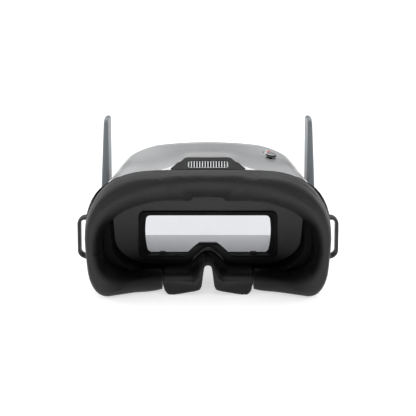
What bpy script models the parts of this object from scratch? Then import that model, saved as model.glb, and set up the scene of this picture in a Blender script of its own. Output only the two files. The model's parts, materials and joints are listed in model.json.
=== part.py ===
"""Box-type FPV goggles: a silver shell with a face foam, one wide lens, two folding antennas and strap loops.

Frame: +X to the right as seen from the face side, -Y towards the face, +Z up, the floor at z = 0.
Every length below is in millimetres and is turned into metres when a mesh is made.
"""

import math

import bpy
from mathutils import Matrix, Vector

MM = 0.001
GAP = 0.3
SIDES = (("left", -1), ("right", 1))

# Face side
FOAM_HALF_WIDTH = 90.3
FOAM_TOP = 99.0
FOAM_REAR = -40.0
FOAM_REAR_BEND = 0.002072
BASE_REAR = -24.0
BASE_BEND = 0.0012
FLANGE = 3.0
FOAM_BACKING = 0.8
RIM_BULGE = 4.6
RIM_TOP = 97.7
GUARD_HALF_WIDTH = 36.0
GUARD_SHEET = 2.2
# (share of the way from the outer edge to the inner one, share of the depth) round the foam's section
FOAM_SECTION = ((0.04, 0.0), (0.0, 0.3), (0.0, 0.62), (0.07, 0.86), (0.25, 1.0), (0.48, 0.97),
                (0.76, 0.8), (0.96, 0.54), (1.0, 0.36), (0.98, 0.0))

# Housing
HOUSING_REAR = BASE_REAR + FLANGE + 2 * GAP
HOUSING_FRONT = 48.0
COVER_FACE = 54.6
COVER_RECESS = 1.3
PANEL_FACE = 56.0
WALL = 2.0
ROOF = 97.4
SIDE_DRAFT = math.tan(math.radians(5))
NOSE_RISE = 16.0
RIDGE_HEIGHT = 5.6
RIDGE_CREST = -12.0
RIDGE_TOP_HALF = 15.3
RIDGE_FOOT_HALF = 45.0
VENT_PLATE = 1.5
VENT_LOW = -6.67
VENT_HIGH = 4.9
VENT_MIDDLE = -1.9
PORT_Z = 19.0
PORT_DEPTH = 8.0
COVER_SCREWS = ((30.0, 10.0), (30.0, 84.0))
CONTROL_BOSSES = (-6.2, 6.2)
CONTROL_BOSS_Y = 1.6

# Optics
PLATE_Y = -12.0
PLATE = 2.0
GASKET_REAR = -12.8
LENS_REAR = -5.0
LENS = 2.5
TUNNEL_REAR = LENS_REAR + LENS + GAP
TUNNEL_FRONT = 27.0
DISPLAY = (118.0, 2.5, 46.0)
DISPLAY_Z = 36.5
BRACKET_SCREWS = ((63.0, 17.0), (63.0, 55.0))

# Boards and fan
BOARD = (96.0, 44.0, 1.6)
BOARD_MIDDLE = (0.0, 16.0, 64.8)
BOARD_SCREWS = ((44.0, 3.0), (44.0, 23.0))
FAN_MIDDLE = (0.0, -5.2, 79.2)
FAN_SIZE = 26.0
FAN_DEPTH = 8.0

# Antennas and strap loops
PIVOT = (81.4, 5.0, 46.0)
LEAN = math.radians(4.3)
ANTENNA_LENGTH = 84.9
ANTENNA_FOOT = 7.5
ANTENNA_TIP = 4.2
ANTENNA_TAPER = 0.6
PIVOT_HOLE = 3.0
PIVOT_PIN = 2.94
LOOP_PIN = (91.9, -24.0, 41.3)
LOOP_LEAN = 5.0
LOOP_HALF = 18.9
EAR = 3.2

# Controls, in a frame whose Z is the roof's outward normal there
CONTROLS = (51.2, 23.0, 92.75)
CONTROLS_TILT = 7.0
JOYSTICK_Y = -7.0
RECORD_Y = 7.5
GIMBAL_Z = -6.4

# Every outline has these steps, so that two of them join point by point
NOSE_STEPS = 5
CORNER_STEPS = 4
FOAM_STEPS = 6
TOP_STEPS = (0.84, 0.66, 0.5, 0.36, 0.222, 0.0)

SILVER = ("silver_plastic", (0.42, 0.43, 0.44), 0.35, 0.3)
DARK = ("black_plastic", (0.02, 0.02, 0.02), 0.5, 0.0)
FOAM = ("foam_skin", (0.03, 0.03, 0.03), 0.7, 0.0)
RUBBER = ("soft_rubber", (0.025, 0.025, 0.025), 0.6, 0.0)
GREY = ("antenna_plastic", (0.2, 0.22, 0.24), 0.4, 0.2)
CLEAR = ("clear_lens", (0.9, 0.92, 0.95), 0.05, 0.0)
PALE = ("pale_plastic", (0.5, 0.5, 0.52), 0.5, 0.0)
SCREEN = ("screen", (0.85, 0.86, 0.88), 0.2, 0.0)
STEEL = ("steel", (0.55, 0.55, 0.57), 0.3, 1.0)
GREEN = ("circuit_board", (0.02, 0.1, 0.05), 0.5, 0.0)
RED = ("red_plastic", (0.6, 0.03, 0.04), 0.4, 0.0)


# ---------------------------------------------------------------- making objects


def material_of(look):
    name, colour, roughness, metallic = look
    found = bpy.data.materials.get(name)
    if found:
        return found
    made = bpy.data.materials.new(name)
    made.use_nodes = True
    shader = made.node_tree.nodes["Principled BSDF"]
    shader.inputs["Base Color"].default_value = (*colour, 1.0)
    shader.inputs["Roughness"].default_value = roughness
    shader.inputs["Metallic"].default_value = metallic
    return made


def make(name, points, faces, look, place=None, smooth=False):
    """An object from points in millimetres in its own frame, set down by the matrix place."""
    mesh = bpy.data.meshes.new(name)
    mesh.from_pydata([Vector(p) * MM for p in points], [], faces)
    mesh.materials.append(material_of(look))
    if smooth:
        mesh.shade_smooth()
        mesh.set_sharp_from_angle(angle=math.radians(35))
    obj = bpy.data.objects.new(name, mesh)
    bpy.context.scene.collection.objects.link(obj)
    if place is not None:
        obj.matrix_world = Matrix.Translation(place.translation * MM) @ place.to_3x3().to_4x4()
    return obj


def grid_faces(rows, columns, around_rows):
    """Quads between neighbours on a grid whose columns go round."""
    faces = []
    for row in range(rows if around_rows else rows - 1):
        below = (row + 1) % rows
        for column in range(columns):
            beside = (column + 1) % columns
            faces.append((row * columns + column, row * columns + beside,
                          below * columns + beside, below * columns + column))
    return faces


def face_out(mesh):
    """Turns the faces outwards where the mesh's volume comes out negative."""
    volume = 0.0
    for face in mesh.polygons:
        corners = [mesh.vertices[i].co for i in face.vertices]
        for a, b in zip(corners[1:], corners[2:]):
            volume += corners[0].dot(a.cross(b))
    if volume < 0:
        mesh.flip_normals()


def sweep(name, sections, look, closed, place=None, smooth=True):
    """A solid through sections of equal point count: a ring where closed, else a bar with end caps."""
    count = len(sections[0])
    faces = grid_faces(len(sections), count, closed)
    if not closed:
        faces.append(tuple(range(count))[::-1])
        faces.append(tuple(range((len(sections) - 1) * count, len(sections) * count)))
    obj = make(name, [p for section in sections for p in section], faces, look, place, smooth)
    face_out(obj.data)
    return obj


def ring(name, outlines, look, smooth=True):
    """A ring-shaped solid: each outline is a closed line of (x, y, z), and they go round its wall."""
    return sweep(name, [list(points) for points in zip(*outlines)], look, True, None, smooth)


def at(x, y, z, turn=None):
    move = Matrix.Translation((x, y, z))
    return move @ turn if turn is not None else move


def turned(degrees, axis):
    return Matrix.Rotation(math.radians(degrees), 4, axis)


def along_y(x, y, z):
    """A place whose Z axis points along +Y."""
    return at(x, y, z, turned(-90, "X"))


def block(name, size, look, place, chamfer=0.0):
    """A box centred on its place, with chamfered edges along its own Z."""
    w, d, h = (side / 2 for side in size)
    c = chamfer
    outline = [(w - c, -d), (w, -d + c), (w, d - c), (w - c, d),
               (-w + c, d), (-w, d - c), (-w, -d + c), (-w + c, -d)]
    if c == 0:
        outline = [(w, -d), (w, d), (-w, d), (-w, -d)]
    return sweep(name, [[(x, y, z) for x, y in outline] for z in (-h, h)], look, False, place, False)


def disc(name, profile, look, place, sides=24):
    """A turned solid: profile holds (radius, height) from bottom to top along the place's own Z axis."""
    turns = [math.tau * i / sides for i in range(sides)]
    sections = [[(r * math.cos(a), r * math.sin(a), z) for a in turns] for r, z in profile]
    return sweep(name, sections, look, False, place)


def carve(target, tools, operation="DIFFERENCE"):
    """Applies one exact Boolean for each tool and removes the tool."""
    for tool in tools:
        tool.hide_render = True
        tool.display_type = "WIRE"
        modifier = target.modifiers.new(tool.name, "BOOLEAN")
        modifier.operation = operation
        modifier.object = tool
    bpy.context.view_layer.update()
    graph = bpy.context.evaluated_depsgraph_get()
    target.data = bpy.data.meshes.new_from_object(target.evaluated_get(graph))
    target.modifiers.clear()
    for tool in tools:
        bpy.data.objects.remove(tool)


def tube(name, points, radius, look):
    """A thin round lead through the points, in millimetres."""
    curve = bpy.data.curves.new(name, "CURVE")
    curve.dimensions = "3D"
    curve.bevel_depth = radius * MM
    curve.bevel_resolution = 2
    curve.use_fill_caps = True
    spline = curve.splines.new("POLY")
    spline.points.add(len(points) - 1)
    for point, place in zip(spline.points, points):
        point.co = (*(Vector(place) * MM), 1.0)
    curve.materials.append(material_of(look))
    obj = bpy.data.objects.new(name, curve)
    bpy.context.scene.collection.objects.link(obj)


# ---------------------------------------------------------------- outlines shared by several parts


def smooth_step(t):
    t = min(max(t, 0.0), 1.0)
    return t * t * (3 - 2 * t)


def bell(t, flat=0.28):
    """1 over the middle of the nose, falling to 0 at t = 1."""
    return smooth_step((1 - t) / (1 - flat))


def corner_arc(corner, start, steps):
    """Points of a quarter superellipse, from start degrees on."""
    reach, rise, power = corner
    points = []
    for i in range(steps + 1):
        a = math.radians(start + 90 * i / steps)
        x = abs(math.cos(a)) ** (2 / power)
        z = math.copysign(abs(math.sin(a)) ** (2 / power), math.sin(a))
        points.append((reach * x, rise * z))
    return points


def half_outline(half_width, bottom, top, low, high, nose_half, nose_rise, flat=0.28,
                 steps=CORNER_STEPS):
    """(x, z) from the middle of the bottom round the right side to the middle of the top.

    low and high give each corner's (reach, rise, power), and the bottom rises into a bell over the nose.
    """
    points = []
    for i in range(NOSE_STEPS + 1):
        t = i / NOSE_STEPS
        points.append((nose_half * t, bottom + nose_rise * bell(t, flat)))
    points.append(((nose_half + half_width - low[0]) / 2, bottom))
    points += [(half_width - low[0] + x, bottom + low[1] + z) for x, z in corner_arc(low, -90, steps)]
    points.append((half_width, (bottom + low[1] + top - high[1]) / 2))
    points += [(half_width - high[0] + x, top - high[1] + z) for x, z in corner_arc(high, 0, steps)]
    points += [((half_width - high[0]) * t, top) for t in TOP_STEPS]
    return points


def whole(half):
    """The closed outline: the half, and its mirror image back to the start."""
    return half + [(-x, z) for x, z in half[-2:0:-1]]


def round_corner(radius):
    return (radius, radius, 2.0)


def lifted(outline, height):
    """The outline at one place along Y, or on the surface y = height(x, z)."""
    if callable(height):
        return [(x, height(x, z), z) for x, z in outline]
    return [(x, height, z) for x, z in outline]


def base_y(x, z=0.0):
    """The bent plane where the foam meets the carrier."""
    return BASE_REAR - BASE_BEND * x * x


def plate_y(x, z):
    """The rear face of the lens frame: flat round the window, bent back at the sides and the top."""
    return PLATE_Y - 0.0137 * max(abs(x) - 50, 0) ** 2 - 0.014 * max(z - 60, 0) ** 2


# ---------------------------------------------------------------- housing


def rise_of_ridge(x, y):
    """Height of the ridge over the roof: a plane slope at the rear, falling away on the other sides."""
    spread = min(max((abs(x) - RIDGE_TOP_HALF) / (RIDGE_FOOT_HALF - RIDGE_TOP_HALF), 0.0), 1.0)
    side = (1 - spread) ** 1.8
    slope = (y - HOUSING_REAR) / (RIDGE_CREST - HOUSING_REAR)
    fade = 1 - smooth_step((y - RIDGE_CREST + 2) / 46)
    return RIDGE_HEIGHT * min(max(slope, 0.0), side * fade)


def half_width_at(y):
    """Half the housing's width: nearly straight along the sides, with large round corners at the front."""
    taper = 79.0 - 0.12 * max(y + 6, 0) + 0.2 * max(-y - 6, 0)
    corner = 26.0
    t = max(y - COVER_FACE + corner, 0.0) / corner
    return taper - 1.2 * corner * (1 - math.sqrt(max(1 - t * t, 0.0)))


def housing_outline(y, inset, ridge=True):
    """(x, z) round the housing at one place along Y."""
    half_width = half_width_at(y) - inset
    nose = NOSE_RISE * (1 - smooth_step((y - HOUSING_REAR) / 36))
    corner = round_corner(13 - 4 * smooth_step((y + 20) / 60) - inset)
    top = ROOF - 0.025 * (y + 20) - inset
    half = half_outline(half_width, inset, top, corner, corner, 19 + inset, nose, 0.0)
    bend = 0.0008 + 0.0006 * smooth_step((y + 20) / 70)
    shaped = []
    for x, z in half:
        lift = max(z - 45, 0) / (top - 45)
        x -= SIDE_DRAFT * max(z - 45, 0) * (x / half_width) ** 2
        z -= bend * x * x * lift * lift
        if ridge and lift > 0.85:
            z += rise_of_ridge(x, y)
        shaped.append((x, z))
    return whole(shaped)


def bent(x, y):
    """Y after the housing's rear edge has been bent to follow the carrier."""
    return y - BASE_BEND * x * x * (1 - smooth_step((y - HOUSING_REAR) / 20))


def housing_ring(y, inset, ridge=True):
    return [(x, bent(x, y), z) for x, z in housing_outline(y, inset, ridge)]


def pivot_place(sign):
    """The antenna hinge: X up along the blade, Z outwards along the hinge's axis."""
    outward = Vector((sign * math.cos(LEAN), 0, math.sin(LEAN)))
    up = Vector((-sign * math.sin(LEAN), 0, math.cos(LEAN)))
    turn = Matrix((up, outward.cross(up), outward)).transposed().to_4x4()
    return at(sign * PIVOT[0], PIVOT[1], PIVOT[2], turn)


def loop_place(sign):
    """The middle of a strap loop's pin, Z along the pin, which leans inwards at the top."""
    return at(sign * LOOP_PIN[0], LOOP_PIN[1], LOOP_PIN[2], turned(-sign * LOOP_LEAN, "Y"))


def vent_place():
    """The middle of the vent cover's seat: Y goes into the housing along its normal, Z up the slope."""
    run = RIDGE_CREST - HOUSING_REAR
    middle = (0, HOUSING_REAR + run / 2, ROOF + RIDGE_HEIGHT / 2)
    return at(*middle, Matrix.Rotation(-math.atan2(run, RIDGE_HEIGHT), 4, "X"))


def controls_place(y=0.0):
    return at(*CONTROLS, turned(CONTROLS_TILT, "Y")) @ at(0, y, 0)


def port_specs():
    """(name, sign of X, y, width, height) of each socket in the side walls, at one height."""
    return (("usb_port", 1, 14.0, 9.6, 4.0), ("av_jack", 1, 26.0, 7.0, 7.0),
            ("card_slot", -1, 14.0, 13.0, 3.2), ("dc_jack", -1, 27.5, 9.0, 9.0))


def make_housing():
    rows = (HOUSING_REAR, -16.2, RIDGE_CREST, -6, 4, 16, 28, 36, 43, HOUSING_FRONT)
    inner_rows = (HOUSING_FRONT, 43, 34, 20, 0, RIDGE_CREST, HOUSING_REAR)
    outer = [housing_ring(y, 0) for y in rows]
    inner = [housing_ring(y, WALL, False) for y in inner_rows]
    housing = ring("main_housing", outer + inner, SILVER)
    added = []
    holes = []
    for side, sign in SIDES:
        added.append(disc("boss", [(8.0, -6.2), (8.0, -GAP)], SILVER, pivot_place(sign)))
        holes.append(disc("pivot_hole", [(PIVOT_HOLE, -12.0), (PIVOT_HOLE, 2.0)], SILVER, pivot_place(sign)))
        for x, z in COVER_SCREWS:
            height, middle = (15.0, 8.5) if z < 50 else (16.0, 86.4)
            added.append(block("cover_boss", (8.0, 7.0, height), SILVER, at(sign * x, 44.4, middle)))
            bore = along_y(sign * x, HOUSING_FRONT, z)
            holes.append(disc("cover_bore", [(1.15, -6.0), (1.15, 3.0)], SILVER, bore, 12))
    for x in CONTROL_BOSSES:
        place = controls_place(CONTROL_BOSS_Y) @ at(x, 0, 0)
        added.append(disc("control_boss", [(2.0, -9.7), (2.0, -1.0)], SILVER, place, 12))
        holes.append(disc("control_bore", [(0.9, -11.0), (0.9, -4.5)], SILVER, place, 12))
    holes.append(block("vent_duct", (29.0, 24.0, 4.0), SILVER, vent_place() @ at(0, 0, VENT_MIDDLE)))
    holes.append(disc("joystick_hole", [(3.8, -5.0), (3.8, 5.0)], SILVER, controls_place(JOYSTICK_Y)))
    holes.append(disc("record_hole", [(4.85, -5.0), (4.85, 5.0)], SILVER, controls_place(RECORD_Y)))
    for name, sign, y, width, height in port_specs():
        size = (20.0, width + 2 * GAP, height + 2 * GAP)
        holes.append(block(name + "_hole", size, SILVER, at(sign * 76, y, PORT_Z)))
    carve(housing, added, "UNION")
    carve(housing, holes)


def make_front_cover():
    def rim(y, inset):
        edge = 4.0
        past = max(y - COVER_FACE + edge, 0.0)
        rounding = edge - math.sqrt(edge**2 - past**2)
        return lifted(housing_outline(min(y, COVER_FACE - 0.6), inset + rounding), y)

    start = HOUSING_FRONT + GAP
    rings = [rim(start + COVER_RECESS, WALL + 1.0), rim(start, WALL)]
    rings += [rim(y, 0) for y in (start, 51.0, 53.0, 54.1, COVER_FACE)]
    cover = sweep("front_cover", rings, SILVER, False)
    holes = []
    profile = [(1.15, -8.0), (1.15, -1.8), (2.5, -1.8), (2.5, 1.0)]
    for side, sign in SIDES:
        for x, z in COVER_SCREWS:
            holes.append(disc("screw_seat", profile, SILVER, along_y(sign * x, COVER_FACE, z), 12))
    carve(cover, holes)

    def panel(inset, y):
        corner = round_corner(8.0)
        half = half_outline(34.0 - inset, 20.0 + inset, 76.0 - inset, corner, corner, 10.0, 0.0)
        return lifted(whole(half), y)

    face = COVER_FACE + GAP
    sweep("front_panel", [panel(0, face), panel(0, face + 0.5), panel(0.8, PANEL_FACE)], DARK, False)


def make_vent():
    place = vent_place()
    rear = -GAP - VENT_PLATE

    def outline(y, low, high):
        points = [(28.0, low), (27.4, low + 0.9), (18.4, high - 1.5), (15.4, high)]
        return [(x, y, z) for x, z in points] + [(-x, y, z) for x, z in points[::-1]]

    layers = [outline(rear, VENT_LOW, VENT_HIGH), outline(-GAP, VENT_LOW + 2.25, VENT_HIGH)]
    cover = sweep("vent_cover", layers, DARK, False, place, False)
    seat = place @ at(0, 0, VENT_MIDDLE)
    carve(cover, [block("opening", (30.8, 6.0, 6.8), DARK, seat)])
    grille = block("vent_grille", (30.2, 1.1, 6.2), STEEL, seat @ at(0, rear + 0.65, 0))
    slots = []
    for i in range(14):
        slots.append(block("slot", (1.3, 6.0, 5.0), STEEL, seat @ at((i - 6.5) * 2.08, 0, 0.1)))
    carve(grille, slots)


def make_ports():
    mouths = {"av_jack": 2.3, "dc_jack": 2.8}
    for name, sign, y, width, height in port_specs():
        edge = half_width_at(y + width / 2) - 0.4
        place = at(sign * (edge - PORT_DEPTH / 2), y, PORT_Z, turned(90 * sign, "Y"))
        inner = place @ at(0, 0, 2.0)
        half = PORT_DEPTH / 2
        if name in mouths:
            port = disc(name, [(width / 2, -half), (width / 2, half)], DARK, place, 20)
            mouth = disc("mouth", [(mouths[name], -half), (mouths[name], half)], DARK, inner, 20)
        else:
            port = block(name, (height, width, PORT_DEPTH), DARK, place)
            mouth = block("mouth", (height - 1.4, width - 1.6, PORT_DEPTH), DARK, inner)
        carve(port, [mouth])


# ---------------------------------------------------------------- face side


def foam_outline(nose_half=GUARD_HALF_WIDTH + 2 * GAP, nose_rise=0.0, flat=0.28):
    low, high = (13.0, 30.0, 2.5), (52.0, 54.0, 2.6)
    return half_outline(FOAM_HALF_WIDTH, 0.0, FOAM_TOP, low, high, nose_half, nose_rise, flat, FOAM_STEPS)


def foam_lip():
    """The foam's inner edge, with a wide notch over the middle."""
    low, high = (20.0, 24.0, 2.4), (64.0, 36.0, 2.7)
    half = half_outline(80.6, 14.5, 75.6, low, high, GUARD_HALF_WIDTH + 2 * GAP, 0.0, steps=FOAM_STEPS)
    return [(x, z + 3.4 * smooth_step((14.0 - x) / 4.0) if z > 70 else z) for x, z in half]


def make_foam():
    outer, inner = whole(foam_outline()), whole(foam_lip())
    sections = []
    for (x0, z0), (x1, z1) in list(zip(outer, inner))[NOSE_STEPS:len(outer) - NOSE_STEPS + 1]:
        section = []
        for across, deep in FOAM_SECTION:
            x, z = x0 + (x1 - x0) * across, z0 + (z1 - z0) * across
            base = base_y(x) - FOAM_BACKING
            depth = base - FOAM_REAR + FOAM_REAR_BEND * x * x
            section.append((x, base - depth * deep * (0.86 + 0.14 * smooth_step(z / 30)), z))
        sections.append(section)
    sweep("foam_cushion", sections, FOAM, False)


def rim_outline():
    """The carrier's edge: the foam's outline, standing out past it at the upper sides."""
    points = []
    for x, z in foam_outline(21.0, NOSE_RISE - 0.4, 0.2):
        bulge = RIM_BULGE * smooth_step((z - 24) / 16) * (1 - 0.25 * smooth_step((z - 45) / 20))
        bulge *= 1 - smooth_step((z - 86) / 13)
        points.append((x + bulge * x / FOAM_HALF_WIDTH, 0.5 + z * (RIM_TOP - 0.5) / FOAM_TOP))
    return whole(points)


def make_carrier():
    def edge(half_width, bottom, top, radius, nose_half):
        low, high = round_corner(radius), round_corner(radius - 4.0)
        return whole(half_outline(half_width, bottom, top, low, high, nose_half, 11.4, 0.06, FOAM_STEPS))

    inside = edge(75.1, 9.0, 85.2, 30.0, 19.0)
    outside = edge(76.6, 7.2, 86.7, 31.5, 20.0)
    rim = rim_outline()

    def wall_end(x, z):
        return plate_y(x, z) + 3.6

    def front(x, z):
        return base_y(x) + FLANGE

    layers = [lifted(rim, base_y), lifted(rim, front), lifted(outside, front), lifted(outside, wall_end),
              lifted(inside, wall_end), lifted(inside, base_y)]
    carrier = ring("face_carrier", layers, DARK)
    ears = []
    bores = []
    for side, sign in SIDES:
        for end in (-1, 1):
            place = loop_place(sign) @ at(0, 0, end * (LOOP_HALF + GAP + EAR / 2))
            ears.append(block("ear", (10.1, 9.6, EAR), DARK, place @ at(-sign * 2.45, -2.4, 0), 2.2))
            bores.append(disc("ear_bore", [(1.2, -EAR), (1.2, EAR)], DARK, place, 16))
    carve(carrier, ears, "UNION")
    carve(carrier, bores)


def window_outline(grow, rise=8.6):
    """The lens window, its sides bowed outwards; grow widens it all round."""
    corner = round_corner(3.0 + grow * 0.5)
    half = half_outline(51.9 + grow, 17.3 - grow, 51.6 + grow, corner, corner, 13.5, rise, 0.58)
    return whole([(x * (1 - 0.034 * ((z - 34) / 17) ** 2) if x > 40 else x, z) for x, z in half])


def opening_outline(inset):
    """The rectangular opening in the lens frame."""
    corner = round_corner(5.0 - inset * 0.5)
    half = half_outline(57.7 - inset, 15.8 + inset, 58.6 - inset, corner, corner, 22.0 - inset, 11.5)
    return whole([(x * (1 - 0.0416 * (z - 14.0) / 44.6), z) for x, z in half])


def make_lens_frame():
    outer = whole(half_outline(74.7, 9.4, 84.8, round_corner(29.6), round_corner(25.6), 20.0, 16.3, 0.0))
    inner = opening_outline(0.0)
    steps = 3
    rear = []
    for k in range(steps + 1):
        t = k / steps
        rear.append([(x0 + (x1 - x0) * t, z0 + (z1 - z0) * t) for (x0, z0), (x1, z1) in zip(outer, inner)])

    def front(x, z):
        return plate_y(x, z) + PLATE

    ring("lens_frame", [lifted(o, plate_y) for o in rear] + [lifted(o, front) for o in rear[::-1]], DARK)


def make_optics():
    outside, mouth = opening_outline(GAP), opening_outline(2.0)
    glass_edge = LENS_REAR - GAP
    rings = [lifted(outside, GASKET_REAR), lifted(outside, -7.5), lifted(window_outline(2.6), glass_edge),
             lifted(window_outline(0.0), glass_edge), lifted(window_outline(0.0), glass_edge - 0.8),
             lifted(mouth, GASKET_REAR)]
    ring("lens_gasket", rings, RUBBER)
    edge = window_outline(1.6)
    sweep("lens", [lifted(edge, LENS_REAR), lifted(edge, LENS_REAR + LENS)], CLEAR, False)
    for side, sign in SIDES:
        block("lens_clip_" + side, (5.0, 1.8, 1.1), DARK, at(sign * 38.0, glass_edge - 1.6, 18.3))


def tunnel_ring(y, grow):
    t = (y - TUNNEL_REAR) / (TUNNEL_FRONT - TUNNEL_REAR)
    corner = round_corner(1.0 + grow)
    rise = 9.4 * (1 - smooth_step(t * 1.6))
    half = half_outline(54.2 + 4.2 * t + grow, 15.9 + 0.7 * t - grow, 54.4 + 4.4 * t + grow, corner, corner,
                        13.5 + grow, rise, 0.5)
    return lifted(whole(half), y)


def make_tunnel():
    rows = (TUNNEL_REAR, 7.0, 16.0, TUNNEL_FRONT)
    layers = [tunnel_ring(y, 1.5) for y in rows] + [tunnel_ring(y, 0.0) for y in rows[::-1]]
    tunnel = ring("light_tunnel", layers, PALE)
    lugs = []
    bores = []
    for side, sign in SIDES:
        for x, z in BRACKET_SCREWS:
            lugs.append(block("lug", (6.6, 4.0, 8.0), PALE, at(sign * (x - 0.9), 24.8, z)))
            bores.append(disc("lug_bore", [(1.05, -6.0), (1.05, 6.0)], PALE, along_y(sign * x, 24.8, z), 12))
        for x, y in BOARD_SCREWS:
            foot = 56.0 if y < 10 else 59.0
            lugs.append(disc("post", [(2.6, foot), (2.6, 63.7)], PALE, at(sign * x, y, 0), 12))
            bores.append(disc("post_bore", [(0.95, 60.0), (0.95, 66.0)], PALE, at(sign * x, y, 0), 12))
    carve(tunnel, lugs, "UNION")
    carve(tunnel, bores)


def guard_path(x):
    """(y, z) along the top of the nose guard, from the lens frame over the crest to the flap's lower edge."""
    x = abs(x)
    start = 11.7 + 13.6 * bell(x / 20, 0.0)
    crest = 12.4 + 13.8 * bell(min(x / 13, 1.0), 0.0)
    corner = max(x - 32, 0.0) / 4
    foot = 4.9 * (1 - min(max((x - 6) / 26, 0.0), 1.0)) + 3.4 * (1 - math.sqrt(1 - corner**2))
    dip = 1.7 * bell(min(x / 13, 1.0), 0.0)
    return [(-16.0, start), (-21.0, start + (crest - start) * 0.12 - dip * 0.4),
            (-25.2, start + (crest - start) * 0.36 - dip), (-30.0, crest - 0.3), (-33.0, crest - 0.7),
            (-36.0, crest - 2.5), (-38.8, crest * 0.66 + foot * 0.2), (-41.6, crest * 0.38 + foot * 0.5),
            (-44.2, foot)]


def make_nose_guard():
    sections = []
    stations = (0.0, 2.5, 5.0, 8.0, 11.0, 14.0, 18.0, 23.0, 28.0, 32.0, 34.2, 35.5, GUARD_HALF_WIDTH)
    for x in [-s for s in stations[:0:-1]] + list(stations):
        path = guard_path(x)
        under = []
        for i, (y, z) in enumerate(path):
            ahead, behind = path[min(i + 1, len(path) - 1)], path[max(i - 1, 0)]
            along = Vector((ahead[0] - behind[0], ahead[1] - behind[1])).normalized()
            under.append((y - along.y * GUARD_SHEET, max(z + along.x * GUARD_SHEET, 0.0)))
        sections.append([(x * (1 - 0.1 * smooth_step((8 - z) / 8)), y, z) for y, z in path + under[::-1]])
    guard = sweep("nose_guard", sections, RUBBER, False)
    slit = [(9.5, -6.0), (8.2, 4.2), (6.3, 4.9), (5.2, 6.5), (4.6, 9.0), (4.1, 13.0), (3.5, 17.0),
            (2.9, 20.2), (2.0, 21.9), (0.0, 22.5)]
    slit += [(-x, z) for x, z in slit[-2::-1]]
    carve(guard, [sweep("slit", [[(x, y, z) for x, z in slit] for y in (-60, -26)], RUBBER, False)])


# ---------------------------------------------------------------- inside


def screw(name, place, length, head=1.9, shank=0.85):
    """Head above the place, shank below it, along the place's own Z."""
    profile = [(shank, -length), (shank, 0.0), (head, 0.0), (head, 1.0), (head - 0.4, 1.3)]
    disc(name, profile, STEEL, place, 12)


def make_display():
    y = TUNNEL_FRONT + GAP
    width, depth, height = DISPLAY
    block("display_panel", (width, height, depth), SCREEN, along_y(0, y + depth / 2, DISPLAY_Z), 1.0)
    y += depth + GAP
    block("backlight_unit", (width, height, 3.0), PALE, along_y(0, y + 1.5, DISPLAY_Z), 1.0)
    y += 3.0 + GAP
    plate = 1.6
    bracket = block("display_bracket", (132.0, 50.0, plate), STEEL, along_y(0, y + plate / 2, DISPLAY_Z), 3.0)
    holes = [block("relief", (18.0, 18.0, 9.0), STEEL, along_y(x, y, DISPLAY_Z), 2.0) for x in (-28, 0, 28)]
    number = 0
    for sign in (-1, 1):
        for x, z in BRACKET_SCREWS:
            number += 1
            holes.append(disc("bore", [(1.1, -4.0), (1.1, 4.0)], STEEL, along_y(sign * x, y, z), 12))
            screw("bracket_screw_%d" % number, along_y(sign * x, y + plate + 0.1, z), 12.0)
    carve(bracket, holes)


def make_boards():
    board = block("main_board", BOARD, GREEN, at(*BOARD_MIDDLE), 1.0)
    top = BOARD_MIDDLE[2] + BOARD[2] / 2
    holes = []
    number = 0
    for sign in (-1, 1):
        for x, y in BOARD_SCREWS:
            number += 1
            holes.append(disc("bore", [(1.1, 60.0), (1.1, 70.0)], GREEN, at(sign * x, y, 0), 12))
            screw("board_screw_%d" % number, at(sign * x, y, top + 0.1), 5.2)
    carve(board, holes)
    block("shield_can", (36.0, 28.0, 2.6), STEEL, at(-14, 20, top + GAP + 1.3), 1.5)
    foot = top + 2.6 + 2 * GAP
    fins = []
    for i in range(8):
        x = -31.0 + i * 4.6
        fins += [(x, foot + 8.0), (x + 1.8, foot + 8.0), (x + 1.8, foot + 2.0)]
        if i < 7:
            fins.append((x + 4.6, foot + 2.0))
    comb = [(-31.0, foot)] + fins + [(3.0, foot)]
    comb[-2:] = [(3.0, foot + 2.0), (3.0, foot)]
    sweep("heat_sink", [[(x, y, z) for x, z in comb] for y in (7.0, 33.0)], STEEL, False, None, False)
    strip = [(33.5, 66.2), (38.6, 66.2), (40.2, 65.2), (40.6, 63.0), (40.4, 52.0), (39.2, 48.6),
             (36.2, 47.6)]
    layers = []
    for i, (y, z) in enumerate(strip):
        ahead, behind = strip[min(i + 1, len(strip) - 1)], strip[max(i - 1, 0)]
        along = Vector((ahead[0] - behind[0], ahead[1] - behind[1])).normalized() * 0.2
        ends = ((y + along.y, z - along.x), (y - along.y, z + along.x))
        layers.append([(x, *ends[0]) for x in (14, 26)] + [(x, *ends[1]) for x in (26, 14)])
    sweep("display_flex", layers, DARK, False)
    for side, sign in SIDES:
        route = [(73.0, 5, 50.4), (72.4, 5.4, 54), (70.0, 6.6, 58), (66.0, 8, 62), (60.0, 10, 65.6),
                 (54.0, 12, 67.6), (49.5, 13, 68.0), (46.8, 13.2, 67.2), (46.2, 13.2, 66.4)]
        tube("antenna_lead_" + side, [(sign * x, y, z) for x, y, z in route], 0.6, DARK)


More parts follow.
